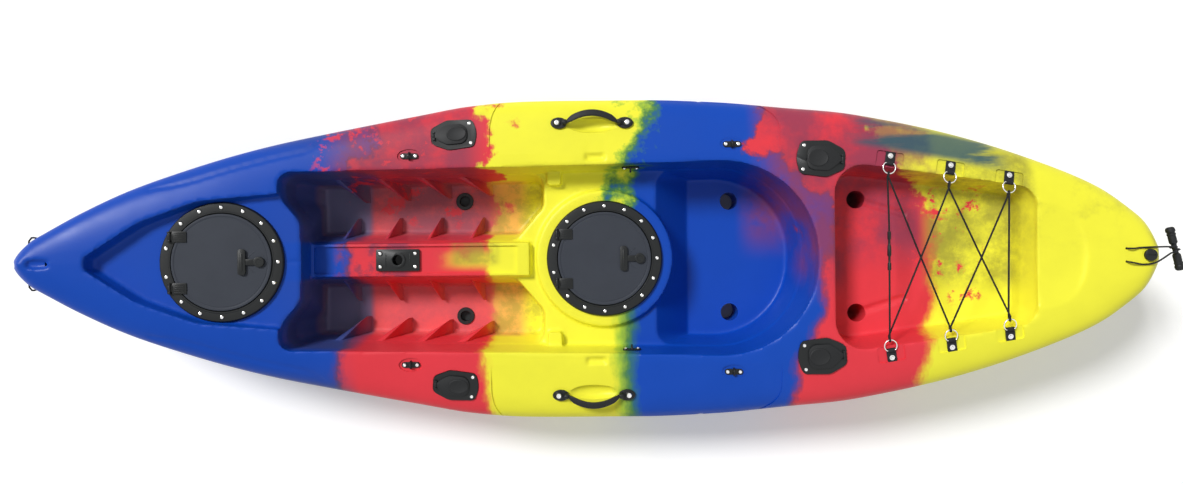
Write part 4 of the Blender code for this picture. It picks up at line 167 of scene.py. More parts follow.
floor_bm.to_mesh(floor_mesh)
floor_bm.free()
floor_mesh.materials.append(floor_paint)
studio_floor = bpy.data.objects.new("studio_floor", floor_mesh)
bpy.context.scene.collection.objects.link(studio_floor)


# The hull is one skin of polyethylene, rotomoulded: powder melts onto the inside of a turning mould, so the
# wall is even and every edge is round. Wells, console, foot rests and pads are all part of that skin. Its lines
# are drawn here as in the CAD, finer forms cut the wells, and one pass of melting rounds every edge.
LENGTH = 2.712
WALL = 0.006
HALF_BEAM_LINE = [(-1.356, 0.050), (-1.331, 0.0745), (-1.304, 0.0960), (-1.279, 0.1165), (-1.223, 0.1575),
                  (-1.168, 0.187), (-1.055, 0.235), (-0.944, 0.275), (-0.830, 0.308), (-0.716, 0.334),
                  (-0.600, 0.355), (-0.481, 0.3665), (-0.301, 0.384), (-0.120, 0.391), (0.060, 0.391),
                  (0.179, 0.389), (0.299, 0.3785), (0.417, 0.357), (0.534, 0.3345), (0.650, 0.311),
                  (0.762, 0.286), (0.873, 0.255), (0.984, 0.2175), (1.093, 0.175), (1.203, 0.120),
                  (1.316, 0.055), (1.356, 0.034)]
DECK_LINE = [(-1.356, 0.338), (-1.2, 0.327), (-1.05, 0.318), (-0.8, 0.309), (-0.55, 0.299), (-0.3, 0.283),
             (0.0, 0.276), (0.3, 0.278), (0.6, 0.289), (0.75, 0.302), (0.9, 0.320), (1.06, 0.340),
             (1.2, 0.356), (1.356, 0.374)]
SEAM_LINE = [(-1.356, 0.290), (-1.25, 0.270), (-1.1, 0.250), (-0.9, 0.225), (-0.6, 0.205), (0.0, 0.195),
             (0.6, 0.205), (0.9, 0.235), (1.1, 0.268), (1.25, 0.300), (1.356, 0.330)]
KEEL_LINE = [(-1.356, 0.225), (-1.32, 0.150), (-1.25, 0.090), (-1.15, 0.050), (-1.0, 0.022), (-0.8, 0.006),
             (-0.62, 0.0), (0.62, 0.0), (0.8, 0.006), (1.0, 0.025), (1.15, 0.060), (1.25, 0.110),
             (1.32, 0.190), (1.356, 0.270)]
CROWN_LINE = [(-1.356, 0.012), (-1.0, 0.016), (-0.5, 0.006), (0.5, 0.006), (0.9, 0.016), (1.356, 0.012)]
FULLNESS_LINE = [(-1.356, 1.6), (-1.1, 1.9), (-0.9, 2.3), (-0.6, 2.8), (0.0, 3.0), (0.6, 2.6), (0.9, 2.0),
                 (1.1, 1.6), (1.356, 1.5)]
NOSE_ROUNDING = 0.052
DECK_SQUARENESS = 5.0
KEEL_FLAT_DEPTH = 0.004
TUNNEL_DEPTH = 0.013
TUNNEL_AT = 0.155
TUNNEL_HALF_WIDTH = 0.045
TUNNEL_REACH = 0.95
BOW_SOLID = 0.080
STERN_SOLID = 0.035
PLATFORM_Z = 0.190
FOOTWELL_FLOOR_Z = 0.090
SEAT_FLOOR_Z = 0.098
MOUND_TOP_Z = 0.206
CONSOLE_TOP_Z = 0.212
CONSOLE_HALF_WIDTH = 0.042
CONSOLE_STERN = 0.152
CONSOLE_LINE_X = 0.1495
FOOTWELL_BOW = 0.742
FOOTWELL_STERN = 0.118
KNEE_STOP_X = 0.0925
COCKPIT_FRONT = 0.700
BOW_HATCH = (0.880, 0.300)
RECESS_TILT = math.radians(5.5)
CENTRE_HATCH_X = -0.032
TANK_BOW = -0.580       # the cargo well's front end, from which its floor rises aft
TANK_FLOOR_Z = 0.180
TANK_RISE = 0.115
RIM_BOW = (0.747, 0.213)
RIM_STERN = (-0.541, 0.238)
RIM_FLARE = 0.025       # how much the rim's half width grows from the first to the second
RIM_LEAN = 0.010
RIM_Z = 0.280
PLUGGED = (0.331, 0.150)
SCUPPERS = [(*PLUGGED, FOOTWELL_FLOOR_Z, 0.0170), (-0.359, 0.145, SEAT_FLOOR_Z, 0.0225),
            (-0.664, 0.142, 0.190, 0.0225)]
VOXEL = 0.004           # the melt's grain
HULL_FACES = 165000
RAKE = 0.027            # the nose's and the stern's upper edges stand back from the seam by this
RAKE_FROM = 1.10
PANEL_ENDS = ((0.245, 0.050), (-0.455, 0.106))      # where each end is, and how far it takes to round out
PANEL_DEPTH = 0.0030
PANEL_INNER = 0.252
PANEL_OUTER = 0.312
PANEL_TOP = 0.330
HANDLE_AT = (-0.003, 0.329)
SCOOP_ASIDE = 0.006
STRIP_BOW = 1.060
STRIP_LENGTH = 0.420
STRIP_INSET = 0.022
STRIP_STEPS = 30
RUNNEL = ((-0.664, 0.142), (-0.785, 0.102))
SLOT_AT = (-0.010, 0.246)
SLOT_DEPTH = 0.008
NOTCH_X = -0.265
RECESS_DRAIN = (0.745, 0.690)
BOW_PAD_X = 1.275
AFT_DISH_X = -1.062
AFT_DISH_DROP = 0.004
STERN_HOLE = (-1.250, 0.0155)
BOW_HOLE_X = 1.322
BOW_HOLE_LIFT = 0.012
HOLE_RADIUS = 0.0028
HATCH_HOLE = 0.108
BASE_HOLE = 0.020
DRAIN_HOLE = 0.0084
HOLDER_TILT = math.radians(30.0)
HOLDER_TOP = 0.005
HOLDER_HOLE = 0.0255
BASE_X = 0.482
CONSOLE_PANEL_Z = CONSOLE_TOP_Z - 0.006
CONSOLE_PANEL = (0.4375, 0.505, 0.068)      # its middle, its length and its width
PAD_EYE_SEAT = (0.058, 0.034)
TIE_SEAT = (0.065, 0.038, 0.006)
MOUNT_SEAT = (0.043, 0.031)
MOUNT_X = 0.080
DRAIN_SEAT = (0.0336, 0.0336)
CHORD = 0.0002          # how far a drawn arc may stand off the true one
SEAT_GAP = 0.0003       # how far a fitting stands off its seat
CUT_ABOVE = 0.030       # how far a cutter rises above the surface that it cuts
# Foot rests: where the first tip is, their pitch, the tip's y and its flare, the foot's y, the crest's y,
# the length, and the heights of crest and tip
FOOT_REST_ROWS = [(0.577, 0.107, 0.147, 0.005, 0.200, 0.2085, 0.084, 0.098, 0.040),
                  (0.602, 0.108, 0.110, 0.0, 0.062, 0.049, 0.034, 0.078, 0.026)]
FOOT_REST_EDGE = 0.0022


def line_value(line, x):
    """The value of one of the hull's lines at a distance forward of amidships."""
    x = min(max(x, line[0][0]), line[-1][0])
    i = next(i for i in range(len(line) - 1) if x <= line[i + 1][0])
    slopes = [(b[1] - a[1]) / (b[0] - a[0]) for a, b in zip(line, line[1:])]

    def tangent(k):
        if k in (0, len(line) - 1):
            return slopes[min(k, len(slopes) - 1)]
        left, right = slopes[k - 1], slopes[k]
        return 0.0 if left * right <= 0.0 else 2.0 * left * right / (left + right)

    (x0, v0), (x1, v1) = line[i], line[i + 1]
    span = x1 - x0
    t = (x - x0) / span
    return ((2 * t ** 3 - 3 * t ** 2 + 1) * v0 + (t ** 3 - 2 * t ** 2 + t) * span * tangent(i)
            + (-2 * t ** 3 + 3 * t ** 2) * v1 + (t ** 3 - t ** 2) * span * tangent(i + 1))


def half_beam(x):
    """Half the hull's width, which closes round each tip."""
    from_tip = LENGTH / 2.0 - abs(x)
    width = line_value(HALF_BEAM_LINE, x)
    if from_tip >= NOSE_ROUNDING:
        return width
    into = 1.0 - max(from_tip, 0.0) / NOSE_ROUNDING
    return width * math.sqrt(max(1.0 - into ** 2, 0.04))


def deck_z(x, y, inset=0.0):
    """The height of the deck's outer surface."""
    share = min(abs(y) / (half_beam(x) - inset), 1.0)
    seam = line_value(SEAM_LINE, x)
    rise = line_value(DECK_LINE, x) - inset - seam
    crown = line_value(CROWN_LINE, x) * (1.0 - share ** 2)
    return seam + rise * (1.0 - share ** DECK_SQUARENESS) ** (1.0 / DECK_SQUARENESS) + crown


def bottom_z(x, y, inset=0.0):
    """The height of the underside: a flat keel between two shallow tunnels, and round bilges."""
    share = min(abs(y) / (half_beam(x) - inset), 1.0)
    seam = line_value(SEAM_LINE, x)
    keel = line_value(KEEL_LINE, x)
    full = line_value(FULLNESS_LINE, x)
    curve = seam - (seam - keel + KEEL_FLAT_DEPTH) * (1.0 - share ** full) ** (1.0 / full)
    along = max(0.0, 1.0 - (x / TUNNEL_REACH) ** 2)
    aside = abs(abs(y) - TUNNEL_AT) / TUNNEL_HALF_WIDTH
    return max(curve, keel) + TUNNEL_DEPTH * along * max(0.0, 1.0 - aside ** 2) + inset * (1.0 - share ** 4)


def lofted(rings):
    """A closed form through rings of points: a grid rolled up, with a cap on each end."""
    bm = bmesh.new()
    around = len(rings[0])
    bmesh.ops.create_grid(bm, x_segments=around, y_segments=len(rings) - 1, size=1.0)
    bm.verts.ensure_lookup_table()
    for row, ring in enumerate(rings):
        for column in range(around + 1):
            bm.verts[row * (around + 1) + column].co = ring[column % around]
    bmesh.ops.remove_doubles(bm, verts=bm.verts, dist=0.000001)
    bmesh.ops.holes_fill(bm, edges=[e for e in bm.edges if e.is_boundary], sides=0)
    bmesh.ops.recalc_face_normals(bm, faces=bm.faces)
    return bm


def hull_skin(stern, bow, inset, stations, steps):
    """The hull's outer skin, or the hollow inside it, through sections that crowd towards its ends."""
    rings = []
    for i in range(stations + 1):
        x = (bow + stern) / 2.0 + (bow - stern) / 2.0 * math.sin(math.pi * (i / stations - 0.5))
        beam = half_beam(x) - inset
        turns = [math.pi / 2.0 * k / steps for k in range(steps + 1)]
        port = [(beam * math.sin(a), bottom_z(x, beam * math.sin(a), inset)) for a in turns]
        port += [(beam * math.cos(a) ** 0.5, deck_z(x, beam * math.cos(a) ** 0.5, inset))
                 for a in turns[1:-1]]
        port += [(0.0, deck_z(x, 0.0, inset))]
        ring = port + [(-y, z) for y, z in reversed(port[1:-1])]
        seam = line_value(SEAM_LINE, x)
        rise = line_value(DECK_LINE, x) - seam
        raked = max(0.0, (abs(x) - RAKE_FROM) / (LENGTH / 2.0 - RAKE_FROM))
        back = math.copysign(RAKE * raked ** 2, x)
        rings.append([Vector((x - back * max(0.0, (z - seam) / rise) ** 1.5, y, z)) for y, z in ring])
    return lofted(rings)


def outline_of(corners, insets=0.0):
    """A rounded outline. Corners run anticlockwise as x, y and radius, and each edge moves in by its inset."""
    count = len(corners)
    if not isinstance(insets, (list, tuple)):
        insets = [insets] * count
    moved = []
    for i in range(count):
        here = Vector(corners[i][:2])
        before = (here - Vector(corners[i - 1][:2])).normalized()
        after = (Vector(corners[(i + 1) % count][:2]) - here).normalized()
        turn = before.cross(after)
        shift = Vector((-before.y, before.x)) * insets[i - 1]
        if abs(turn) > 1e-6:
            shift += before * (Vector((-after.y, after.x)) * insets[i] - shift).cross(after) / turn
        radius = corners[i][2] - math.copysign((insets[i - 1] + insets[i]) / 2.0, turn)
        moved.append((here + shift, max(radius, 0.002)))
    points = []
    for i in range(count):
        here, radius = moved[i]
        towards = moved[i - 1][0] - here
        away = moved[(i + 1) % count][0] - here
        half = towards.angle(away) / 2.0
        own = 0.98 * corners[i][2]
        reach = min(radius / math.tan(half), towards.length * own / (corners[i][2] + corners[i - 1][2]),
                    away.length * own / (corners[i][2] + corners[(i + 1) % count][2]))
        radius = reach * math.tan(half)
        centre = here + (towards.normalized() + away.normalized()).normalized() * radius / math.sin(half)
        first = here + towards.normalized() * reach - centre
        last = here + away.normalized() * reach - centre
        start = math.atan2(first.y, first.x)
        sweep = (math.atan2(last.y, last.x) - start + math.pi) % (2.0 * math.pi) - math.pi
        widest = 2.0 * math.acos(1.0 - min(CHORD / corners[i][2], 0.5))
        pieces = max(2, math.ceil(abs(sweep) / widest))
        for step in range(pieces + 1):
            angle = start + sweep * step / pieces
            points.append((centre.x + radius * math.cos(angle), centre.y + radius * math.sin(angle)))
    return points


def both_sides(corners):
    """A symmetric outline from the corners on its port side, bow to stern."""
    return corners + [(x, -y, radius) for x, y, radius in reversed(corners)]


def rounded_slab(length, width, radius):
    """A rectangle with round corners about its own centre."""
    x, y = length / 2.0, width / 2.0
    return outline_of([(x, -y, radius), (x, y, radius), (-x, y, radius), (-x, -y, radius)])


def full_turn(steps):
    """The angles of a full turn in even steps."""
    return [2.0 * math.pi * i / steps for i in range(steps)]


def ellipse(length, width, steps=40):
    """An ellipse about its own centre."""
    return [(length / 2.0 * math.cos(a), width / 2.0 * math.sin(a)) for a in full_turn(steps)]


def prism(frame, outline, low, high):
    """A straight prism over a flat outline, between two heights in a frame."""
    return lofted([[frame @ Vector((x, y, z)) for x, y in outline] for z in (low, high)])


def dish(frame, length, width, depth, above=CUT_ABOVE):
    """A cutter for a shallow oval hollow with a soft bottom."""
    steps = [(0.30, -depth), (0.62, -depth * 0.80), (0.86, -depth * 0.38), (1.0, 0.0), (1.1, above)]
    return lofted([[frame @ Vector((x, y, z)) for x, y in ellipse(length * share, width * share)]
                   for share, z in steps])


def deck_frame(x, y, yaw=0.0, outline=()):
    """A frame on the deck with Z along its normal. It sinks until the whole outline lies in the deck."""
    step = 0.01
    slope_x = (deck_z(x + step, y) - deck_z(x - step, y)) / (2.0 * step)
    slope_y = (deck_z(x, y + step) - deck_z(x, y - step)) / (2.0 * step)
    normal = Vector((-slope_x, -slope_y, 1.0)).normalized()
    ahead = Vector((1.0, 0.0, slope_x)).normalized()
    turn = Matrix((ahead, normal.cross(ahead).normalized(), normal)).transposed().to_4x4()
    frame_here = Matrix.Translation((x, y, deck_z(x, y))) @ turn @ Matrix.Rotation(yaw, 4, "Z")
    lowest = 0.0
    for u, v in outline:
        point = frame_here @ Vector((u, v, 0.0))
        lowest = max(lowest, (point.z - deck_z(point.x, point.y)) * normal.z)
    return frame_here @ Matrix.Translation((0.0, 0.0, -lowest))


def bar(start, end, radius, segments=32, lift=0.0):
    """A straight round bar between two points, or above them by a lift."""
    bm = bmesh.new()
    along = end - start
    turn = along.to_track_quat("Z", "Y").to_matrix().to_4x4()
    middle = (start + end) / 2.0 + Vector((0.0, 0.0, lift))
    bmesh.ops.create_cone(bm, cap_ends=True, segments=segments, radius1=radius, radius2=radius,
                          depth=along.length, matrix=Matrix.Translation(middle) @ turn)
    return bm


def bar_in(place, start, end, radius, segments=32):
    """A straight round bar between two points of a frame."""
    return bar(place @ Vector(start), place @ Vector(end), radius, segments)


def upright(x, y, low, high, radius, segments=32):
    """An upright round bar between two heights."""
    return bar(Vector((x, y, low)), Vector((x, y, high)), radius, segments)


def form(bm, name):
    """A helper object for a bmesh, which is cut with or joined and then removed."""
    mesh = bpy.data.meshes.new(name)
    bm.to_mesh(mesh)
    bm.free()
    obj = bpy.data.objects.new(name, mesh)
    bpy.context.scene.collection.objects.link(obj)
    return obj


def released(obj):
    """The bmesh of a helper object, which is removed."""
    bm = bmesh.new()
    bm.from_mesh(obj.data)
    bpy.data.objects.remove(obj, do_unlink=True)
    return bm


def steps_of(operation, name, forms):
    """The steps that cut or join an object by several forms."""
    return [(operation, form(bm, name)) for bm in forms]


def carve(obj, steps, solver="EXACT"):
    """Cut and join an object by helper forms in order, then bake the result and remove the forms."""
    for operation, helper in steps:
        step = obj.modifiers.new(operation.lower(), "BOOLEAN")
        step.operation = operation
        step.object = helper
        step.solver = solver
    bake(obj)
    for _, helper in steps:
        bpy.data.objects.remove(helper, do_unlink=True)


def bake(obj):
    """Put what an object's modifiers make into its own mesh."""
    bpy.context.view_layer.update()
    made = bpy.data.meshes.new_from_object(obj.evaluated_get(bpy.context.evaluated_depsgraph_get()))
    obj.modifiers.clear()
    obj.data = made


def recess_floor(x):
    """The tilted floor of the recess round the bow hatch."""
    return BOW_HATCH[1] + (x - BOW_HATCH[0]) * math.tan(RECESS_TILT)


def tank_floor(x):
    """The floor of the cargo well, which rises a little from its scuppers towards the stern."""
    return TANK_FLOOR_Z + (TANK_BOW - x) * TANK_RISE


def well(corners, insets, floor, rim, grow=0.0):
    """A cutter for a well, whose walls lean out from its floor to its rim."""
    height = floor if callable(floor) else (lambda x: floor)
    low = outline_of(corners, [inset - grow for inset in insets])
    high = outline_of(corners, -grow)
    return lofted([[Vector((x, y, height(x) - grow)) for x, y in low],
                   [Vector((x, y, rim)) for x, y in high],
                   [Vector((x, y, rim + 0.12)) for x, y in high]])


INNER = CONSOLE_HALF_WIDTH + 0.004
FOOTWELL = [(COCKPIT_FRONT + 0.001, INNER, 0.012), (COCKPIT_FRONT + 0.001, 0.098, 0.06),
            (FOOTWELL_BOW, 0.152, 0.05),
            (FOOTWELL_BOW, 0.203, 0.035), (FOOTWELL_STERN, 0.214, 0.03), (FOOTWELL_STERN, 0.130, 0.03),
            (0.190, INNER, 0.03)]
FOOTWELL_INSETS = [0.006, 0.032, 0.046, 0.017, 0.010, 0.010, 0.022]
STARBOARD_FOOTWELL = [(x, -y, radius) for x, y, radius in reversed(FOOTWELL)]
STARBOARD_INSETS = FOOTWELL_INSETS[5::-1] + FOOTWELL_INSETS[:5:-1]
COCKPIT = both_sides([(COCKPIT_FRONT, 0.095, 0.06), (RIM_BOW[0], 0.150, 0.05), (*RIM_BOW, 0.04),
                      (*RIM_STERN, 0.226)])
SEAT_PAN = both_sides([(-0.160, 0.216, 0.035), (-0.5255, 0.226, 0.212)])
TANK = both_sides([(TANK_BOW, 0.232, 0.070), (-1.052, 0.160, 0.050)])
RECESS = both_sides([(1.176, 0.014, 0.012), (1.062, 0.092, 0.20), (0.930, 0.146, 0.12), (0.680, 0.172, 0.02)])
WELLS = [
    (COCKPIT, [0.010, 0.025, RIM_LEAN, 0.014, RIM_LEAN, 0.025, 0.010, 0.003], PLATFORM_Z, RIM_Z),
    (FOOTWELL, FOOTWELL_INSETS, FOOTWELL_FLOOR_Z, PLATFORM_Z + 0.002),
    (STARBOARD_FOOTWELL, STARBOARD_INSETS, FOOTWELL_FLOOR_Z, PLATFORM_Z + 0.002),
    (SEAT_PAN, [0.016, 0.016, 0.016, 0.090], SEAT_FLOOR_Z, PLATFORM_Z + 0.001),
    (TANK, [0.018, 0.022, 0.018, 0.012], tank_floor, 0.312),
    (RECESS, [0.006] * 8, recess_floor, 0.345),
]


def platform_half_width(x):
    """Half the cockpit's width at the level of its platform."""
    return RIM_BOW[1] + RIM_FLARE * (RIM_BOW[0] - x) / (RIM_BOW[0] - RIM_STERN[0]) - RIM_LEAN


def fin(tip, tip_y, foot_y, crest_y, length, height, tip_height):
    """A foot rest: a wedge whose face looks to the stern, with a crest that falls from the wall to its tip."""
    inward = math.copysign(1.0, tip_y - foot_y)
    low = [(tip + length, foot_y), (tip, foot_y), (tip, tip_y)]
    high = [(tip + length, crest_y, height), (tip + length * 0.76, crest_y, height * 0.96),
            (tip + length * 0.10, tip_y - inward * 0.002, tip_height)]
    floor = FOOTWELL_FLOOR_Z - 0.004
    bm = lofted([[Vector((u, v, floor)) for u, v in low], [Vector((u, v, floor + w)) for u, v, w in high]])
    bmesh.ops.bevel(bm, geom=list(bm.edges), offset=FOOT_REST_EDGE, segments=2, profile=0.5, affect="EDGES")
    return bm


def foot_rests():
    """The rows of foot rests in the footwells: four long ones outboard and four short ones by the console."""
    made = []
    for side in (1, -1):
        for number in range(4):
            for first, pitch, tip_y, flare, foot_y, crest_y, *size in FOOT_REST_ROWS:
                made.append(fin(first - number * pitch, side * (tip_y + number * flare), side * foot_y,
                                side * crest_y, *size))
    return made


def hull_additions():
    """Forms that stand on the wells' floors: the mound under the hatch, the console and the knee stops."""
    low = PLATFORM_Z - 0.010
    mound = [[Vector((CENTRE_HATCH_X + r * math.cos(a), r * math.sin(a), z)) for a in full_turn(72)]
             for r, z in ((0.174, low), (0.169, MOUND_TOP_Z))]
    bow = COCKPIT_FRONT + WALL
    middle = Matrix.Translation(((bow + CONSOLE_STERN) / 2.0, 0.0, 0.0))
    console = rounded_slab(bow - CONSOLE_STERN, CONSOLE_HALF_WIDTH * 2.0, 0.008)
    made = [lofted(mound), prism(middle, console, low, CONSOLE_TOP_Z)]
    for side in (1, -1):
        stop = Matrix.Translation((KNEE_STOP_X, side * (platform_half_width(KNEE_STOP_X) - 0.014), 0.0))
        made.append(prism(stop, rounded_slab(0.034, 0.038, 0.006), low, PLATFORM_Z + 0.022))
    return made


def rim_slot(side, grow=0.0, corner=0.003):
    """A cutter for the short slot in the cockpit's rim."""
    place = Matrix.Translation((SLOT_AT[0], side * SLOT_AT[1], deck_z(*SLOT_AT)))
    return prism(place, rounded_slab(0.050 + 2 * grow, 0.018 + 2 * grow, corner), -SLOT_DEPTH - grow, CUT_ABOVE)


def scoop(side, length, width, drop=0.0, above=CUT_ABOVE):
    """A cutter for the scoop under a carry handle, which leaves room for the fingers."""
    handle = deck_frame(HANDLE_AT[0], side * HANDLE_AT[1])
    return dish(handle @ Matrix.Translation((0.0, -side * SCOOP_ASIDE, -drop)), length, width, 0.016, above)


def aft_dish(length, width, drop=0.0, above=CUT_ABOVE):
    """A cutter for the shallow dish in the deck ahead of the stern."""
    aft = deck_frame(AFT_DISH_X, 0.0)
    return dish(aft @ Matrix.Translation((0.0, 0.0, -AFT_DISH_DROP - drop)), length, width, 0.006, above)


def gunwale_strip(side):
    """A cutter for the shallow strip along the gunwale beside the bow hatch."""
    rings = []
    for i in range(STRIP_STEPS + 1):
        x = STRIP_BOW - STRIP_LENGTH * i / STRIP_STEPS
        edge = half_beam(x) - STRIP_INSET
        into = min(1.0, 3.0 * i / STRIP_STEPS, 8.0 * (STRIP_STEPS - i) / STRIP_STEPS)
        wide = 0.002 + 0.022 * math.sin(into * math.pi / 2.0)
        top = deck_z(x, edge - wide)
        rings.append([Vector((x, side * (edge - u * wide), top + v))
                      for u, v in ((0.0, -0.006), (1.0, -0.0035), (1.10, 0.03), (-0.3, 0.03))])
    return lofted(rings)


def hull_hollows():
    """Soft cuts that the mould leaves in the deck: scoops, strips, runnels, slots, notches and the aft dish."""
    made = []
    for side in (1, -1):
        made.append(scoop(side, 0.126, 0.040))
        made.append(gunwale_strip(side))
        start, end = [Vector((x, side * y, tank_floor(x))) for x, y in RUNNEL]
        made.append(bar(start, end, 0.011, 20, 0.011 - 0.006))
        made.append(rim_slot(side))
        notch = Matrix.Translation((NOTCH_X, side * (half_beam(NOTCH_X) + 0.001), 0.235))
        made.append(prism(notch, ellipse(0.011, 0.010), -0.030, 0.090))
    bow, stern = RECESS_DRAIN
    start, end = Vector((bow, 0.0, recess_floor(bow) + 0.004)), Vector((stern, 0.0, recess_floor(stern)))
    made.append(bar(start, end, 0.0085, 20, 0.0085 - 0.004))
    line = Matrix.Translation((CONSOLE_LINE_X, 0.0, CONSOLE_TOP_Z))
    made.append(prism(line, rounded_slab(0.007, 0.078, 0.003), -0.009, 0.02))
    made.append(prism(deck_frame(BOW_PAD_X, 0.0), rounded_slab(0.050, 0.021, 0.009), -0.006, CUT_ABOVE))
    made.append(aft_dish(0.200, 0.270))
    return made


def side_panel(side):
    """A cutter that sinks the outer deck beside the cockpit a little. Its ends run round to the gunwale."""
    rings = []
    bow, stern = [end for end, _ in PANEL_ENDS]
    for i in range(61):
        x = bow - (bow - stern) * (1.0 - math.cos(math.pi * i / 60)) / 2.0
        edge = half_beam(x)
        into = min([1.0] + [abs(x - end) / reach for end, reach in PANEL_ENDS])
        outer = PANEL_OUTER + (edge + 0.010 - PANEL_OUTER) * math.sqrt(1.0 - (1.0 - into) ** 2)
        across = [0.300 + (outer - 0.300) * math.sin(math.pi / 2.0 * k / 12) for k in range(13)]
        section = [(PANEL_INNER, 0.0003)] + [(y, -PANEL_DEPTH) for y in across]
        ring = [Vector((x, side * y, deck_z(x, min(y, edge - 0.0015)) + z)) for y, z in section]
        rings.append(ring + [Vector((x, side * y, PANEL_TOP)) for y in (outer, PANEL_INNER)])
    return lofted(rings)


def holder_outline(length, width, margin=0.0):
    """The plate of a rod holder: broad at -x, narrow at +x, where its cap is hinged."""
    wide, narrow, half = width / 2.0, width * 0.26, length / 2.0
    corners = [(half, -narrow, 0.016), (half, narrow, 0.016), (half * 0.30, wide, 0.030),
               (-half * 0.80, wide * 0.90, 0.020), (-half, 0.0, 0.060), (-half * 0.80, -wide * 0.90, 0.020),
               (half * 0.30, -wide, 0.030)]
    return outline_of(corners, margin)


def tube_line(place):
    """Where a rod holder's tube comes out of its plate, and its direction upwards."""
    axis = place.to_3x3() @ Vector((math.sin(HOLDER_TILT), 0.0, math.cos(HOLDER_TILT)))
    return place @ Vector((0.0, 0.0, HOLDER_TOP)), axis


SIDES = [(1, "port"), (-1, "starboard")]
HOLDERS = {}
PAD_EYES = {}
HANDLES = {}
TIES = {}
PAD_DROP = Matrix.Translation((0.0, 0.0, -0.003))
TIE_SPOTS = ((1, -0.713, 0.240), (2, -0.8535, 0.216), (3, -0.990, 0.191))
TIE_LEAN = math.atan2(TIE_SPOTS[0][2] - TIE_SPOTS[2][2], TIE_SPOTS[0][1] - TIE_SPOTS[2][1])
for side, word in SIDES:
    for end, x, y, yaw, size in (("front", 0.329, 0.303, -side * math.radians(5.0), (0.112, 0.074)),
                                 ("rear", -0.547, 0.236, math.pi + side * math.radians(4.0), (0.116, 0.088))):
        HOLDERS[f"{end}_rod_holder_{word}"] = (deck_frame(x, side * y, yaw, holder_outline(*size)), *size)
    for end, x, y in (("front", 0.4375, 0.2515), ("rear", -0.340, 0.274)):
        place = deck_frame(x, side * y, 0.0, ellipse(*PAD_EYE_SEAT, 12))
        PAD_EYES[f"{end}_pad_eye_{word}"] = place @ PAD_DROP
    place = deck_frame(HANDLE_AT[0], side * HANDLE_AT[1], 0.0, rounded_slab(0.200, 0.028, 0.01))
    HANDLES[word] = place @ Matrix.Diagonal((1.0, side, 1.0, 1.0))
    for number, x, y in TIE_SPOTS:
        place = deck_frame(x, side * y, side * TIE_LEAN, rounded_slab(*TIE_SEAT))
        TIES[(number, word)] = place @ PAD_DROP @ Matrix.Diagonal((1.0, -side, 1.0, 1.0))
DRAIN = deck_frame(-1.302, 0.0, 0.0, ellipse(*DRAIN_SEAT, 12))
BOW_HATCH_FRAME = Matrix.Translation((BOW_HATCH[0], 0.0, BOW_HATCH[1])) @ Matrix.Rotation(-RECESS_TILT, 4, "Y")
CENTRE_HATCH_FRAME = Matrix.Translation((CENTRE_HATCH_X, 0.0, MOUND_TOP_Z))
HATCHES = (("bow", BOW_HATCH_FRAME), ("centre", CENTRE_HATCH_FRAME))
BASE_FRAME = Matrix.Translation((BASE_X, 0.0, CONSOLE_PANEL_Z))


def fitting_seats(grow=0.0):
    """Cutters for the crisp seats of the fittings that are let into the deck."""
    made = [prism(place, holder_outline(length, width, -0.0012 - grow), -grow, 0.040)
            for place, length, width in HOLDERS.values()]
    made += [prism(place, ellipse(*[size + 2 * grow for size in PAD_EYE_SEAT]), -grow, CUT_ABOVE)
             for place in PAD_EYES.values()]
    length, width, corner = TIE_SEAT
    for place in TIES.values():
        pad = place @ Matrix.Translation((0.0, 0.009, 0.0))
        made.append(prism(pad, rounded_slab(length + 2 * grow, width + 2 * grow, corner), -grow, CUT_ABOVE))
    for place in HANDLES.values():
        for sign in (1, -1):
            mount = place @ Matrix.Translation((sign * MOUNT_X, 0.0, 0.0))
            made.append(prism(mount, ellipse(*MOUNT_SEAT), -grow, CUT_ABOVE))
    made.append(prism(DRAIN, ellipse(*DRAIN_SEAT), -grow, CUT_ABOVE))
    return made


hull = form(hull_skin(-LENGTH / 2.0, LENGTH / 2.0, 0.0, stations=120, steps=24), "kayak_hull")
carve(hull, steps_of("DIFFERENCE", "well", [well(*data) for data in WELLS])
      + steps_of("UNION", "addition", hull_additions()) + steps_of("DIFFERENCE", "soft_cut", hull_hollows()))
melt = hull.modifiers.new("melt", "REMESH")
melt.mode = "VOXEL"
melt.voxel_size = VOXEL
melt.adaptivity = 0.0
flow = hull.modifiers.new("flow", "SMOOTH")
flow.factor = 0.5
flow.iterations = 5
bake(hull)
thin = hull.modifiers.new("thin", "DECIMATE")
thin.ratio = HULL_FACES / (2.0 * len(hull.data.polygons))
bake(hull)

skin = hull_skin(-LENGTH / 2.0 + STERN_SOLID, LENGTH / 2.0 - BOW_SOLID, WALL, stations=48, steps=16)
hollow = form(skin, "hollow")
walls = [well(*data, WALL) for data in WELLS] + fitting_seats(WALL)
for side, _ in SIDES:
    walls += [scoop(side, 0.140, 0.054, WALL, 0.050), rim_slot(side, WALL, 0.006)]
    walls += [upright(x, side * y, -0.05, floor + 0.01, radius + WALL) for x, y, floor, radius in SCUPPERS]
walls.append(aft_dish(0.212, 0.282, WALL, 0.050))
carve(hollow, steps_of("DIFFERENCE", "wall", walls))

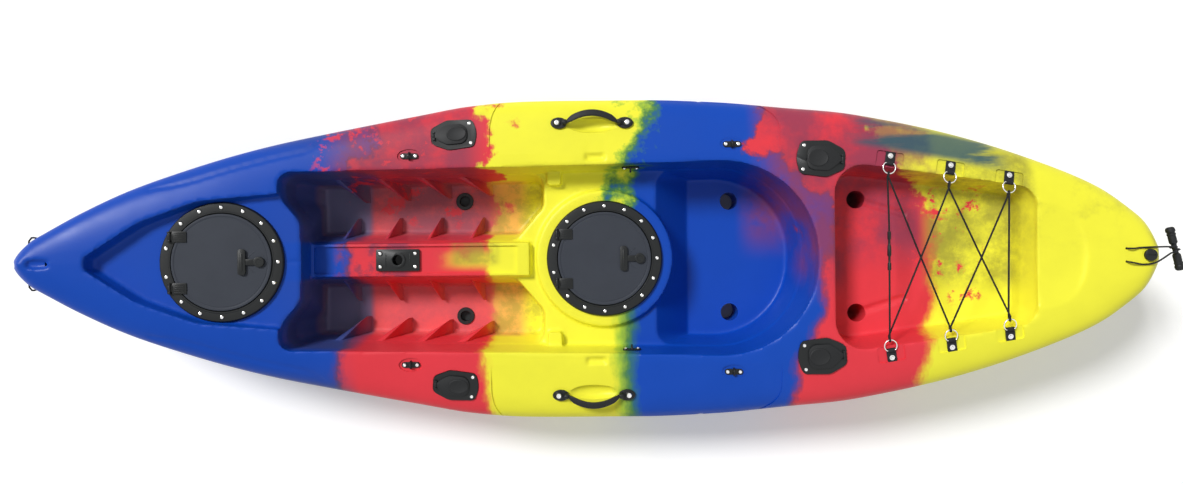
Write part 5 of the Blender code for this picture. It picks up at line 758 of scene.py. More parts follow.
middle, length, width = CONSOLE_PANEL
panel = Matrix.Translation((middle, 0.0, CONSOLE_PANEL_Z))
cuts = [prism(panel, rounded_slab(length, width, 0.004), 0.0, CUT_ABOVE)]
cuts += [bar_in(place, (0, 0, -0.030), (0, 0, CUT_ABOVE), HATCH_HOLE, 96) for _, place in HATCHES]
for place, _, _ in HOLDERS.values():
    top, axis = tube_line(place)
    cuts.append(bar(top - axis * 0.036, top + axis * 0.034, HOLDER_HOLE, 48))
cuts.append(bar_in(DRAIN, (0, 0, -0.040), (0, 0, CUT_ABOVE), DRAIN_HOLE))
cuts.append(bar_in(BASE_FRAME, (0, 0, -0.040), (0, 0, 0.020), BASE_HOLE, 48))
bow_hole_z = line_value(SEAM_LINE, BOW_HOLE_X) + BOW_HOLE_LIFT
for side, _ in SIDES:
    cuts.append(side_panel(side))
    cuts += [upright(x, side * y, -0.05, floor + 0.05, radius, 48) for x, y, floor, radius in SCUPPERS]
    x, y = STERN_HOLE
    cuts.append(upright(x, side * y, deck_z(x, y) - 0.016, deck_z(x, y) + 0.020, HOLE_RADIUS, 16))
    inner, outer = [Vector((BOW_HOLE_X, side * (half_beam(BOW_HOLE_X) + reach), bow_hole_z))
                    for reach in (-0.014, 0.020)]
    cuts.append(bar(inner, outer, HOLE_RADIUS, 16))
carve(hull, [("DIFFERENCE", hollow)] + steps_of("UNION", "foot_rest", foot_rests())
      + steps_of("DIFFERENCE", "seat", fitting_seats()) + steps_of("DIFFERENCE", "cut", cuts), "MANIFOLD")

# Colour: three charges of powder, blue, red and yellow, lie one behind the other in the mould. They melt into
# bands that meet sharply to port, and run into each other in clouds and streaks to starboard.
BLUE = (0.004, 0.066, 0.460, 1.0)
RED = (0.790, 0.046, 0.064, 1.0)
YELLOW = (0.940, 0.900, 0.050, 1.0)
LIME = (0.420, 0.600, 0.050, 1.0)
GREEN = (0.050, 0.200, 0.070, 1.0)
PURPLE = (0.140, 0.040, 0.140, 1.0)
ORANGE = (0.840, 0.380, 0.050, 1.0)
OLIVE = (0.330, 0.300, 0.045, 1.0)
MAUVE = (0.240, 0.085, 0.130, 1.0)
WINE = (0.270, 0.045, 0.090, 1.0)
# painted shade for the bow ends of the footwells
PAINTED_SHADE_SLATE = (0.060, 0.070, 0.170, 1.0)
MIST = (0.140, 0.150, 0.270, 1.0)
DUSTY = (0.860, 0.170, 0.170, 1.0)
TEAL = (0.018, 0.090, 0.130, 1.0)
CLOUD_SHADE = (0.45, 0.45, 0.47, 1.0)
GLOSS_SWING = 0.22
BAND_REACH = 1.4        # the bands are spread from this far behind amidships to this far ahead of it
BANDS = [(-1.40, YELLOW), (-0.780, YELLOW), (-0.770, ORANGE), (-0.760, RED), (-0.488, RED), (-0.478, PURPLE),
         (-0.466, BLUE), (-0.120, BLUE), (-0.090, GREEN), (-0.066, LIME), (-0.045, YELLOW), (0.250, YELLOW),
         (0.258, ORANGE), (0.268, RED), (0.598, RED), (0.612, PURPLE), (0.626, BLUE), (1.40, BLUE)]


def grain_group():
    """A shader group for moulded and woven surfaces: cloudy colour, uneven gloss and a fine grain."""
    group = bpy.data.node_groups.new("grain", "ShaderNodeTree")
    for title, kind in (("Colour", "NodeSocketColor"), ("Clouding", "NodeSocketFloat"),
                        ("Gloss Loss", "NodeSocketFloat"), ("Grain Size", "NodeSocketFloat"),
                        ("Grain Depth", "NodeSocketFloat")):
        group.interface.new_socket(title, in_out="INPUT", socket_type=kind)
    for title, kind in (("Colour", "NodeSocketColor"), ("Roughness", "NodeSocketFloat"),
                        ("Normal", "NodeSocketVector")):
        group.interface.new_socket(title, in_out="OUTPUT", socket_type=kind)
    given = group.nodes.new("NodeGroupInput")
    result = group.nodes.new("NodeGroupOutput")
    where = group.nodes.new("ShaderNodeTexCoord")
    clouds = add_node(group, "ShaderNodeTexNoise", Scale=11.0, Detail=4.0, Roughness=0.6)
    fine = add_node(group, "ShaderNodeTexNoise", Detail=3.0, Roughness=0.6)
    shade = add_node(group, "ShaderNodeMapRange", From_Min=0.3, From_Max=0.7, To_Max=1.0)
    darker = add_node(group, "ShaderNodeMath", {"operation": "MULTIPLY"})
    tint = add_node(group, "ShaderNodeMix", {"data_type": "RGBA", "blend_type": "MULTIPLY"})
    gloss = add_node(group, "ShaderNodeMath", {"operation": "MULTIPLY_ADD"})
    bump = add_node(group, "ShaderNodeBump", Strength=1.0)
    link = group.links.new
    link(where.outputs["Object"], clouds.inputs["Vector"])
    link(where.outputs["Object"], fine.inputs["Vector"])
    link(given.outputs["Grain Size"], fine.inputs["Scale"])
    link(clouds.outputs["Fac"], shade.inputs["Value"])
    link(shade.outputs["Result"], darker.inputs[0])
    link(given.outputs["Clouding"], darker.inputs[1])
    link(darker.outputs[0], tint.inputs["Factor"])
    link(given.outputs["Colour"], tint.inputs[6])
    tint.inputs[7].default_value = CLOUD_SHADE
    link(clouds.outputs["Fac"], gloss.inputs[0])
    gloss.inputs[1].default_value = GLOSS_SWING
    link(given.outputs["Gloss Loss"], gloss.inputs[2])
    link(fine.outputs["Fac"], bump.inputs["Height"])
    link(given.outputs["Grain Depth"], bump.inputs["Distance"])
    link(tint.outputs[2], result.inputs["Colour"])
    link(gloss.outputs[0], result.inputs["Roughness"])
    link(bump.outputs["Normal"], result.inputs["Normal"])
    return group


GRAIN = grain_group()


def grained(name, colour, clouding, gloss_loss, grain_size, grain_depth, sheen=0.2, metallic=0.0):
    """A material with the shared grain over one colour. Returns the material and its grain node."""
    mat = bpy.data.materials.new(name)
    mat.use_nodes = True
    tree = mat.node_tree
    shader = tree.nodes["Principled BSDF"]
    shader.inputs["Metallic"].default_value = metallic
    shader.inputs["Specular IOR Level"].default_value = 0.5 if metallic else sheen
    grain = tree.nodes.new("ShaderNodeGroup")
    grain.node_tree = GRAIN
    grain.inputs["Colour"].default_value = colour
    grain.inputs["Clouding"].default_value = clouding
    grain.inputs["Gloss Loss"].default_value = gloss_loss
    grain.inputs["Grain Size"].default_value = grain_size
    grain.inputs["Grain Depth"].default_value = grain_depth
    tree.links.new(grain.outputs["Colour"], shader.inputs["Base Color"])
    tree.links.new(grain.outputs["Roughness"], shader.inputs["Roughness"])
    tree.links.new(grain.outputs["Normal"], shader.inputs["Normal"])
    return mat, grain


def mixed_plastic():
    """The hull's plastic: bands of pigment with warped edges, clouds of blends, and streaks along the rail."""
    mat, grain = grained("mixed_polyethylene", BLUE, 0.10, 0.26, 420.0, 0.00012)
    tree = mat.node_tree
    link = tree.links.new
    where = add_node(tree, "ShaderNodeTexCoord")
    axes = add_node(tree, "ShaderNodeSeparateXYZ")
    link(where.outputs["Object"], axes.inputs[0])

    def noise(scale, detail, roughness, stretch=None):
        """Cloudy noise about the hull, with its axes stretched or not."""
        made = add_node(tree, "ShaderNodeTexNoise", Scale=scale, Detail=detail, Roughness=roughness)
        source = where.outputs["Object"]
        if stretch:
            pull = add_node(tree, "ShaderNodeMapping", Scale=stretch)
            link(source, pull.inputs["Vector"])
            source = pull.outputs["Vector"]
        link(source, made.inputs["Vector"])
        return made.outputs["Fac"]

    def fill(sockets, values):
        """Give each socket its plain value or its link."""
        for socket, value in zip(sockets, values):
            if isinstance(value, (int, float, tuple)):
                socket.default_value = value
            else:
                link(value, socket)

    def number(operation, a, b=0.0, c=0.0):
        """The result of one sum, whose terms are links or plain numbers."""
        made = add_node(tree, "ShaderNodeMath", {"operation": operation})
        fill(made.inputs, (a, b, c))
        return made.outputs[0]

    def product(first, *others):
        """What all the shares have in common."""
        for other in others:
            first = number("MULTIPLY", first, other)
        return first

    def step(value, low, high):
        """Nothing on the low side and all on the high one, with a soft rise between."""
        made = add_node(tree, "ShaderNodeMapRange", {"interpolation_type": "SMOOTHSTEP"}, From_Min=low,
                        From_Max=high)
        link(value, made.inputs["Value"])
        return made.outputs["Result"]

    def within(value, low, high, soft):
        """All between two bounds and nothing past their soft edges."""
        return product(step(value, low - soft, low), step(value, high + soft, high))

    def mottle(scale, detail, roughness, low, high, stretch=None):
        """Islands of noise with soft shores."""
        return step(noise(scale, detail, roughness, stretch), low, high)

    def tinted(under, tint, strength, *shares):
        """A colour with a tint over it where all the shares meet."""
        made = add_node(tree, "ShaderNodeMix", {"data_type": "RGBA"})
        fill((made.inputs["Factor"], made.inputs[6], made.inputs[7]), (product(*shares, strength), under, tint))
        return made.outputs[2]

    x, y, z = axes.outputs
    starboard = step(y, 0.06, -0.14)
    outboard = step(y, -0.10, -0.30)
    aside = number("ABSOLUTE", y)
    middle = step(aside, 0.28, 0.10)
    ahead = step(x, 0.30, 0.50)
    behind = step(x, -0.20, -0.42)
    amidships = within(x, -0.20, 0.02, 0.08)
    lean = product(outboard, ahead, 0.075)
    lean = number("MULTIPLY_ADD", number("MULTIPLY_ADD", middle, 0.065, 0.012), behind, lean)
    lean = number("MULTIPLY_ADD", product(outboard, behind), -0.095, lean)
    lean = number("MULTIPLY_ADD", product(outboard, amidships), 0.045, lean)
    place = number("ADD", x, lean)
    swirl = number("SUBTRACT", noise(3.6, 3.0, 0.55), 0.5)
    cloud = number("SUBTRACT", noise(13.0, 5.0, 0.60), 0.5)
    fray = number("SUBTRACT", noise(90.0, 3.0, 0.60, (1.0, 0.35, 0.35)), 0.5)
    place = number("MULTIPLY_ADD", swirl, number("MULTIPLY_ADD", starboard, 0.17, 0.05), place)
    place = number("MULTIPLY_ADD", cloud, number("MULTIPLY_ADD", starboard, 0.22, 0.05), place)
    place = number("MULTIPLY_ADD", fray, 0.020, place)
    spread = add_node(tree, "ShaderNodeMapRange", From_Min=-BAND_REACH, From_Max=BAND_REACH)
    link(place, spread.inputs["Value"])
    ramp = add_node(tree, "ShaderNodeValToRGB")
    stops = ramp.color_ramp.elements
    while len(stops) < len(BANDS):
        stops.new(0.5)
    for stop, (at, colour) in zip(stops, BANDS):
        stop.position = (at + BAND_REACH) / (2.0 * BAND_REACH)
        stop.color = colour
    link(spread.outputs["Result"], ramp.inputs["Fac"])
    colour = ramp.outputs["Color"]

    # Wine-red clouds where the blue ran into the red on the starboard side, and behind the seat
    edges = number("MAXIMUM", within(x, -0.72, -0.44, 0.07), within(x, 0.32, 0.58, 0.08))
    clouded = product(edges, step(y, 0.02, -0.12))
    for share in (product(within(x, -0.80, -0.60, 0.04), step(y, 0.06, -0.06)),
                  product(within(x, -0.62, -0.54, 0.035), step(y, 0.12, 0.0))):
        clouded = number("MAXIMUM", clouded, share)
    colour = tinted(colour, WINE, 0.85, mottle(6.5, 6.0, 0.62, 0.30, 0.58), clouded)
    # Olive clouds in the cargo well and over the starboard quarter, and red specks in the well
    colour = tinted(colour, OLIVE, 0.80, mottle(7.0, 7.0, 0.72, 0.34, 0.62), within(x, -1.02, -0.85, 0.04),
                    within(y, -0.22, 0.04, 0.06))
    colour = tinted(colour, OLIVE, 0.55, mottle(6.0, 7.0, 0.70, 0.44, 0.74), within(x, -1.34, -0.90, 0.08),
                    step(y, 0.03, -0.12))
    colour = tinted(colour, RED, 1.0, mottle(24.0, 6.0, 0.7, 0.56, 0.63), within(x, -0.95, -0.78, 0.03),
                    within(y, -0.15, 0.10, 0.03))
    # Dusty red, mauve and olive on the footwells' floors, the mauve heavier in the starboard footwell
    low = step(z, 0.135, 0.098)
    colour = tinted(colour, DUSTY, 0.55, low, within(x, 0.20, 0.70, 0.05))
    colour = tinted(colour, MAUVE, 0.75, low, within(x, 0.30, 0.70, 0.08),
                    number("MULTIPLY_ADD", starboard, 0.6, 0.4), mottle(7.0, 6.0, 0.7, 0.36, 0.62))
    colour = tinted(colour, OLIVE, 0.55, low, within(x, 0.10, 0.24, 0.04), mottle(16.0, 5.0, 0.7, 0.40, 0.60))
    # Painted shade: slate blue over the bow ends of the footwells, which lie in shade
    colour = tinted(colour, PAINTED_SHADE_SLATE, 0.70, within(x, 0.60, 0.78, 0.04), step(z, 0.30, 0.24),
                    step(aside, 0.040, 0.052))
    colour = tinted(colour, MIST, 0.80, low, within(x, 0.585, 0.72, 0.02))
    # The console's top: wine where the blue ends, and a tongue of olive and yellow in the red
    top = product(step(z, 0.198, 0.203), step(aside, 0.050, 0.044))
    colour = tinted(colour, WINE, 0.80, top, within(x, 0.47, 0.62, 0.03), mottle(17.0, 5.0, 0.65, 0.42, 0.56))
    colour = tinted(colour, YELLOW, 0.75, top, within(x, 0.20, 0.30, 0.10), step(aside, 0.034, 0.004),
                    mottle(14.0, 4.0, 0.55, 0.30, 0.55))
    colour = tinted(colour, OLIVE, 0.65, top, within(x, 0.25, 0.33, 0.03), step(y, 0.022, 0.004),
                    mottle(12.0, 5.0, 0.6, 0.36, 0.58))
    # Red islands in the starboard side deck's blue and purple, and a teal streak along the rail further aft
    colour = tinted(colour, RED, 0.8, within(x, 0.34, 0.64, 0.05), step(y, -0.05, -0.12),
                    mottle(13.0, 6.0, 0.72, 0.55, 0.62))
    rail = number("MULTIPLY_ADD", x, 0.20, y)
    colour = tinted(colour, TEAL, 0.90, within(x, -0.94, -0.66, 0.07), within(rail, -0.452, -0.412, 0.026),
                    mottle(6.0, 6.0, 0.60, 0.34, 0.52, (0.45, 3.0, 1.0)))
    link(colour, grain.inputs["Colour"])
    return mat


def smooth_piece(obj, mat):
    """Give an object its material, and smooth shading that breaks at its edges."""
    obj.data.materials.clear()
    obj.data.materials.append(mat)
    obj.data.shade_smooth()
    obj.data.set_sharp_from_angle(angle=math.radians(32.0))


smooth_piece(hull, mixed_plastic())
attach(hull, "kayak")
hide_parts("hull")


# Each hatch is bought in: an ABS frame ring held to the hull by fifteen stainless screws, a lid of the same
# plastic on two pinned hinges, a rubber gasket under it, and a T-shaped latch with a tongue under the lid.
MATERIALS = {}


def stock(slot, *grain, **more):
    """Make the material that fills a slot."""
    MATERIALS[slot] = grained(slot, *grain, **more)[0]


stock("black_plastic", (0.0075, 0.0090, 0.0095, 1.0), 0.20, 0.30, 900.0, 0.00008, 0.30)
stock("dark_plastic", (0.040, 0.046, 0.060, 1.0), 0.25, 0.40, 700.0, 0.00012)
stock("rubber", (0.0085, 0.0095, 0.0105, 1.0), 0.30, 0.45, 500.0, 0.00010, 0.30)
stock("stainless_steel", (0.78, 0.78, 0.77, 1.0), 0.10, 0.12, 1200.0, 0.00002, metallic=1.0)
FRAME_TOP = 0.010
SCREW_CIRCLE = 0.1305
HINGE_X = 0.1183
HINGE_Z = 0.0146
HINGE_Y = 0.061
HINGE_BARREL = 0.0042
HINGE_EARS = (-0.01045, 0.01045)
EAR_HALF = 0.00235
LEAF_HALF = 0.0078
PIN_HALF = 0.0128
PIN_RADIUS = 0.0016
LATCH_X = -0.0872


def joined(pieces):
    """One bmesh of several."""
    whole = bmesh.new()
    for bm in pieces:
        mesh = bpy.data.meshes.new("part")
        bm.to_mesh(mesh)
        bm.free()
        whole.from_mesh(mesh)
        bpy.data.meshes.remove(mesh)
    return whole


def piece(name, parts, body, slot, nodes=(), bevel=0.0):
    """A visible object of several forms, on its body and in place of its CAD nodes, with its edges broken."""
    obj = form(joined(parts), name)
    if bevel:
        edge = obj.modifiers.new("edge", "BEVEL")
        edge.width = bevel
        edge.segments = 2
        edge.limit_method = "ANGLE"
        edge.angle_limit = math.radians(40.0)
        bake(obj)
    smooth_piece(obj, MATERIALS[slot])
    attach(obj, body)
    if nodes:
        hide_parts(*nodes)
    return obj


def turned(place, profile, segments=64, ring=False):
    """A form turned about a frame's Z axis, from radii and heights. A ring's profile closes on itself."""
    rings = [[place @ Vector((r * math.cos(a), r * math.sin(a), z))
              for a in full_turn(segments)] for r, z in profile]
    return lofted(rings + rings[:1] if ring else rings)


def at(place, x, y, z=0.0):
    """A frame moved within itself."""
    return place @ Matrix.Translation((x, y, z))


def screw_head(place, size=1.0):
    """A pan head with the dimple of its socket, on a frame."""
    profile = [(0.0042, -0.0002), (0.0042, 0.0008), (0.0036, 0.0017), (0.0024, 0.0022), (0.0015, 0.0022),
               (0.0012, 0.0012), (0.0003, 0.0011)]
    return turned(place, [(r * size, z * size) for r, z in profile], 24)


def arc_ridge(place, radii, angles, heights):
    """A flat ridge along an arc about a frame's Z axis."""
    turns = [math.radians(angles[0] + (angles[1] - angles[0]) * i / 20) for i in range(21)]
    section = [(radii[0], heights[0]), (radii[1], heights[0]), (radii[1], heights[1]), (radii[0], heights[1])]
    return lofted([[place @ Vector((r * math.cos(a), r * math.sin(a), z)) for r, z in section] for a in turns])


def block(place, size, centre, radius=0.001):
    """A block with rounded upright edges, its size and the middle of its foot in a frame."""
    return prism(at(place, *centre), rounded_slab(size[0], size[1], radius), 0.0, size[2])


def hinge_bar(place, y, half, radius, segments):
    """A round bar along the axis of a lid's hinge."""
    return bar_in(place, (HINGE_X, y - half, HINGE_Z), (HINGE_X, y + half, HINGE_Z), radius, segments)


for end, place in HATCHES:
    collar = [(0.100, 0.0040), (0.100, -0.024), (0.107, -0.024), (0.107, SEAT_GAP), (0.144, SEAT_GAP),
              (0.1438, 0.0030), (0.1416, 0.0086), (0.1400, FRAME_TOP), (0.1220, FRAME_TOP), (0.1208, 0.0108),
              (0.1188, 0.0108), (0.1172, 0.0098), (0.1170, 0.0040)]
    parts = [turned(place, collar, 128, ring=True)]
    screws = []
    raised = [(0.0062, -0.0004), (0.0058, 0.0004), (0.0046, 0.0004)]
    turns = [math.pi + (k - 6) * math.radians(22.5) for k in range(13)]
    turns += [math.radians(15.0), math.radians(345.0)]
    for turn in turns:
        x, y = SCREW_CIRCLE * math.cos(turn), SCREW_CIRCLE * math.sin(turn)
        parts.append(turned(at(place, x, y, FRAME_TOP), raised, 24))
        screws.append(screw_head(at(place, x, y, FRAME_TOP + 0.0003)))
    pins = {}
    for side, word in SIDES:
        for offset in HINGE_EARS:
            y = side * HINGE_Y + offset
            parts.append(block(place, (0.0084, 0.0047, 0.0056), (HINGE_X, y, 0.009), 0.0005))
            parts.append(hinge_bar(place, y, EAR_HALF, HINGE_BARREL, 24))
        y = side * HINGE_Y
        pins[word] = hinge_bar(place, y, PIN_HALF, PIN_RADIUS, 16)
    piece(f"{end}_frame_ring", parts, "kayak", "black_plastic", [f"{end}_hatch_frame"], 0.0004)
    piece(f"{end}_frame_screws", screws, "kayak", "stainless_steel")
    for word, pin in pins.items():
        piece(f"{end}_pin_{word}", [pin], "kayak", "stainless_steel", [f"{end}_hatch_hinge_pin_{word}"])
    gasket = [(0.1050, 0.0043), (0.1110, 0.0043), (0.1112, 0.0056), (0.1096, 0.0067), (0.1064, 0.0067),
              (0.1048, 0.0056)]
    piece(f"{end}_seal_ring", [turned(place, gasket, 96, ring=True)], "kayak", "rubber",
          [f"{end}_hatch_gasket"])

    disc = [(0.1148, 0.0071), (0.1155, 0.0078), (0.1155, 0.0112), (0.1147, 0.0121), (0.1098, 0.0121),
            (0.1090, 0.0114), (0.1064, 0.0114), (0.1056, 0.0119), (0.0010, 0.0119)]
    parts = [turned(place, disc, 128)]
    boss = at(place, LATCH_X, 0.0)
    for radii, angles in (((0.0262, 0.0278), (-68.0, -24.0)), ((0.0262, 0.0278), (24.0, 68.0)),
                          ((0.0165, 0.0178), (105.0, 165.0)), ((0.0165, 0.0178), (195.0, 255.0))):
        parts.append(arc_ridge(boss, radii, angles, (0.0112, 0.0124)))
    leaves = []
    for side, word in SIDES:
        y = side * HINGE_Y
        leaves.append(block(place, (0.03246, 0.026, 0.0030), ((0.0793 + 0.11176) / 2.0, y, 0.0113), 0.002))
        leaves.append(block(place, (0.0080, 0.0156, 0.0030), (0.1140, y, 0.0113), 0.0005))
        leaves.append(hinge_bar(place, y, LEAF_HALF, HINGE_BARREL, 24))
        for number in range(5):
            rib_y = y - 0.0092 + number * 0.0046
            leaves.append(block(place, (0.0240, 0.0016, 0.0010), (0.0950, rib_y, 0.0142), 0.0004))
    piece(f"{end}_hinge_leaves", leaves, f"{end}_lid", "black_plastic", bevel=0.0003)
    piece(f"{end}_lid_disc", parts, f"{end}_lid", "dark_plastic", [f"{end}_hatch_lid"], 0.0003)
    head = [(0.0125, 0.0124), (0.0125, 0.0178), (0.0118, 0.0185), (0.0066, 0.0185), (0.0056, 0.0177),
            (0.0010, 0.0177)]
    parts = [turned(boss, head, 48),
             block(place, (0.0330, 0.0140, 0.0044), (LATCH_X + 0.0198 + 0.0033, 0.0, 0.0130), 0.002),
             block(place, (0.0180, 0.0620, 0.0055), (-0.0476, 0.0, 0.0130), 0.0070),
             block(place, (0.0050, 0.0440, 0.0010), (-0.0476, 0.0, 0.0184), 0.0024),
             bar_in(boss, (0, 0, 0.0011), (0, 0, 0.0150), 0.0050, 32),
             block(place, (0.0113, 0.0080, 0.0030), (-0.09285, 0.0, 0.0016), 0.001)]
    piece(f"{end}_latch_handle", parts, f"{end}_latch", "black_plastic", [f"{end}_hatch_latch"], 0.0007)


# The rod holders are injection moulded: a plate on the deck with a blind tube that slants under it, two
# screws, and a soft rubber cap that folds back on a roll between two ears.
TUBE_OUTER = 0.024
TUBE_BORE = 0.021
TUBE_LENGTH = 0.190
TUBE_BOTTOM = 0.004
ROLL_HALF = 0.0057
for name, (place, length, width) in HOLDERS.items():
    top, axis = tube_line(place)
    tube_end = top - axis * TUBE_LENGTH
    mouth = top + axis * 0.030
    above = prism(place, rounded_slab(0.3, 0.3, 0.01), HOLDER_TOP, 0.080)
    bore = bar(tube_end + axis * TUBE_BOTTOM, mouth, TUBE_BORE, 64)
    plate = form(prism(place, holder_outline(length, width), SEAT_GAP, HOLDER_TOP), "plate")
    carve(plate, steps_of("UNION", "tube", [bar(tube_end, mouth, TUBE_OUTER, 64)])
          + steps_of("DIFFERENCE", "bore", [above, bore]))
    parts = [released(plate)]
    hinge_x = length / 2.0 - 0.006
    for y in (-0.0085, 0.0085):
        parts.append(block(place, (0.0064, 0.0050, 0.0078), (hinge_x, y, 0.0040), 0.001))
    piece(f"{name}_plate", parts, "kayak", "black_plastic", [name], 0.0005)
    screws = [screw_head(at(place, -0.34 * length, side * 0.33 * width, HOLDER_TOP)) for side, _ in SIDES]
    piece(f"{name}_screws", screws, "kayak", "stainless_steel")
    leaf = both_sides([(hinge_x, ROLL_HALF, 0.001), (hinge_x - 0.0045, ROLL_HALF, 0.001),
                       (hinge_x - 0.013, 0.014, 0.006), (hinge_x - 0.032, 0.33 * width, 0.014),
                       (hinge_x - 0.72 * length, 0.33 * width, 0.020)])
    middle = at(place, -0.05 * length, 0.0)
    dome = [[middle @ Vector((x, y, z)) for x, y in ellipse(length * 0.44 * share, width * 0.48 * share)]
            for share, z in ((1.0, 0.0090), (0.97, 0.0106), (0.88, 0.0114), (0.80, 0.0108), (0.10, 0.0108))]
    parts = [prism(place, outline_of(leaf), 0.0053, 0.0093), lofted(dome),
             bar_in(place, (hinge_x, -ROLL_HALF, 0.0086), (hinge_x, ROLL_HALF, 0.0086), 0.0032, 24)]
    cap = f"{name.replace('_rod_holder', '')}_cap"
    piece(f"{name}_lid", parts, cap, "rubber", [f"{name}_cap"], 0.0006)


# Pad eyes: a nylon base with an arch over it, moulded in one, under two pan-head screws. The same eyes hold the
# seat's straps on the walls of the cockpit.
STRAP_EYE_X = -0.097
EYE_SCREWS = (-0.015, 0.015)
EYES = dict(PAD_EYES)
lean = math.atan2(RIM_LEAN, RIM_Z - PLATFORM_Z)
ahead = Vector((1.0, 0.0, 0.0))
for side, word in SIDES:
    inboard = Vector((0.0, -side * math.cos(lean), math.sin(lean)))
    turn = Matrix((ahead, inboard.cross(ahead), inboard)).transposed().to_4x4()
    wall_y = platform_half_width(STRAP_EYE_X) + 0.05 * math.tan(lean)
    foot = Vector((STRAP_EYE_X, side * wall_y, 0.240)) + inboard * 0.0004
    EYES[f"seat_strap_eye_{word}"] = Matrix.Translation(foot) @ turn


def tube(points, radius, segments=14, closed=False):
    """A round wire through points."""
    count = len(points)
    rings = []
    side = None
    for i, point in enumerate(points):
        before = points[i - 1] if i or closed else point
        after = points[(i + 1) % count] if i < count - 1 or closed else point
        along = (after - before).normalized()
        side = along.orthogonal() if side is None else side - along * side.dot(along)
        side.normalize()
        other = along.cross(side)
        rings.append([point + (side * math.cos(a) + other * math.sin(a)) * radius
                      for a in full_turn(segments)])
    return lofted(rings + rings[:1] if closed else rings)


for name, place in EYES.items():
    parts = [block(place, (0.044, 0.014, 0.0027), (0.0, 0.0, SEAT_GAP), 0.0069)]
    boss = [(0.0068, 0.0028), (0.0064, 0.0040), (0.0048, 0.0040)]
    parts += [turned(at(place, x, 0.0), boss, 24) for x in EYE_SCREWS]
    screws = [screw_head(at(place, x, 0.0, 0.0039)) for x in EYE_SCREWS]
    arch = [place @ Vector((0.0, 0.0085 * math.cos(a), 0.001 + 0.01105 * math.sin(a)))
            for a in [math.pi * i / 24 for i in range(25)]]
    piece(f"{name}_base", parts + [tube(arch, 0.0022)], "kayak", "black_plastic", [name], 0.0004)
    piece(f"{name}_screws", screws, "kayak", "stainless_steel")


# The carry handles are soft rubber bands moulded on two pins. Each pin turns in a moulded mount, which one
# bright screw holds to the deck over a raised washer.
PIN_HEIGHT = 0.010
BAND_HALF = 0.0612
BAND_BULGE = (0.019, 0.012)     # how far the band's middle stands outboard of its pins, and above them
BAND_WIDTH = 0.016
BAND_THICK = 0.0035


def band_middle(t):
    """The middle of the band's section, from one pin at -1 to the other at 1."""
    bulge = math.cos(t * math.pi / 2.0) ** 0.8 if abs(t) < 1.0 else 0.0
    return BAND_HALF * t, BAND_BULGE[0] * bulge, PIN_HEIGHT + BAND_BULGE[1] * bulge


def squared(size, share):
    """One coordinate of a section between an oval and a rectangle."""
    return size * math.copysign(abs(share) ** 0.55, share)


for word, place in HANDLES.items():
    for sign, where in ((1, "bow"), (-1, "stern")):
        mount = at(place, sign * MOUNT_X, 0.0)
        base = [[mount @ Vector((x, y, z)) for x, y in ellipse(0.040 * share, 0.028 * share)]
                for share, z in ((1.0, SEAT_GAP), (1.0, 0.0030), (0.93, 0.0045))]
        knuckle = bar_in(mount, (-sign * 0.0185, 0, PIN_HEIGHT), (-sign * 0.0095, 0, PIN_HEIGHT), 0.0065, 32)
        foot = block(mount, (0.0090, 0.0130, 0.0090), (-sign * 0.0140, 0.0, 0.0010), 0.001)
        cap = at(mount, sign * 0.005, 0.0)
        washer = [(0.0105, 0.0040), (0.0105, 0.0060), (0.0092, 0.0075), (0.0078, 0.0075), (0.0072, 0.0068),
                  (0.0020, 0.0068)]
        parts = [lofted(base), knuckle, foot, turned(cap, washer, 40)]
        piece(f"handle_mount_{word}_{where}", parts, "kayak", "black_plastic",
              [f"side_handle_mount_{word}_{where}"], 0.0005)
        piece(f"handle_screw_{word}_{where}", [screw_head(at(cap, 0.0, 0.0, 0.0068), 1.5)], "kayak",
              "stainless_steel")
    rings = []
    for i in range(49):
        t = -1.0 + 2.0 * i / 48
        wide = BAND_WIDTH * (0.55 + 0.45 * min(1.0, (1.0 - abs(t)) * 5.0)) / 2.0
        x, y, z = band_middle(t)
        section = [(squared(wide, math.cos(a)), squared(BAND_THICK, math.sin(a))) for a in full_turn(24)]
        rings.append([place @ Vector((x, y + u, z + v)) for u, v in section])
    parts = [lofted(rings)]
    for sign in (1, -1):
        parts.append(bar_in(place, (sign * 0.0572, 0, PIN_HEIGHT), (sign * 0.0677, 0, PIN_HEIGHT), 0.0035, 24))
    for i in range(9):
        rib = at(place, *band_middle((i - 4) * 0.105))
        parts.append(block(rib, (0.0022, 0.0132, 0.0040), (0.0, 0.0, 0.0), 0.0008))
    piece(f"carry_handle_{word}", parts, f"{word}_handle", "rubber", [f"side_handle_{word}"], 0.0004)


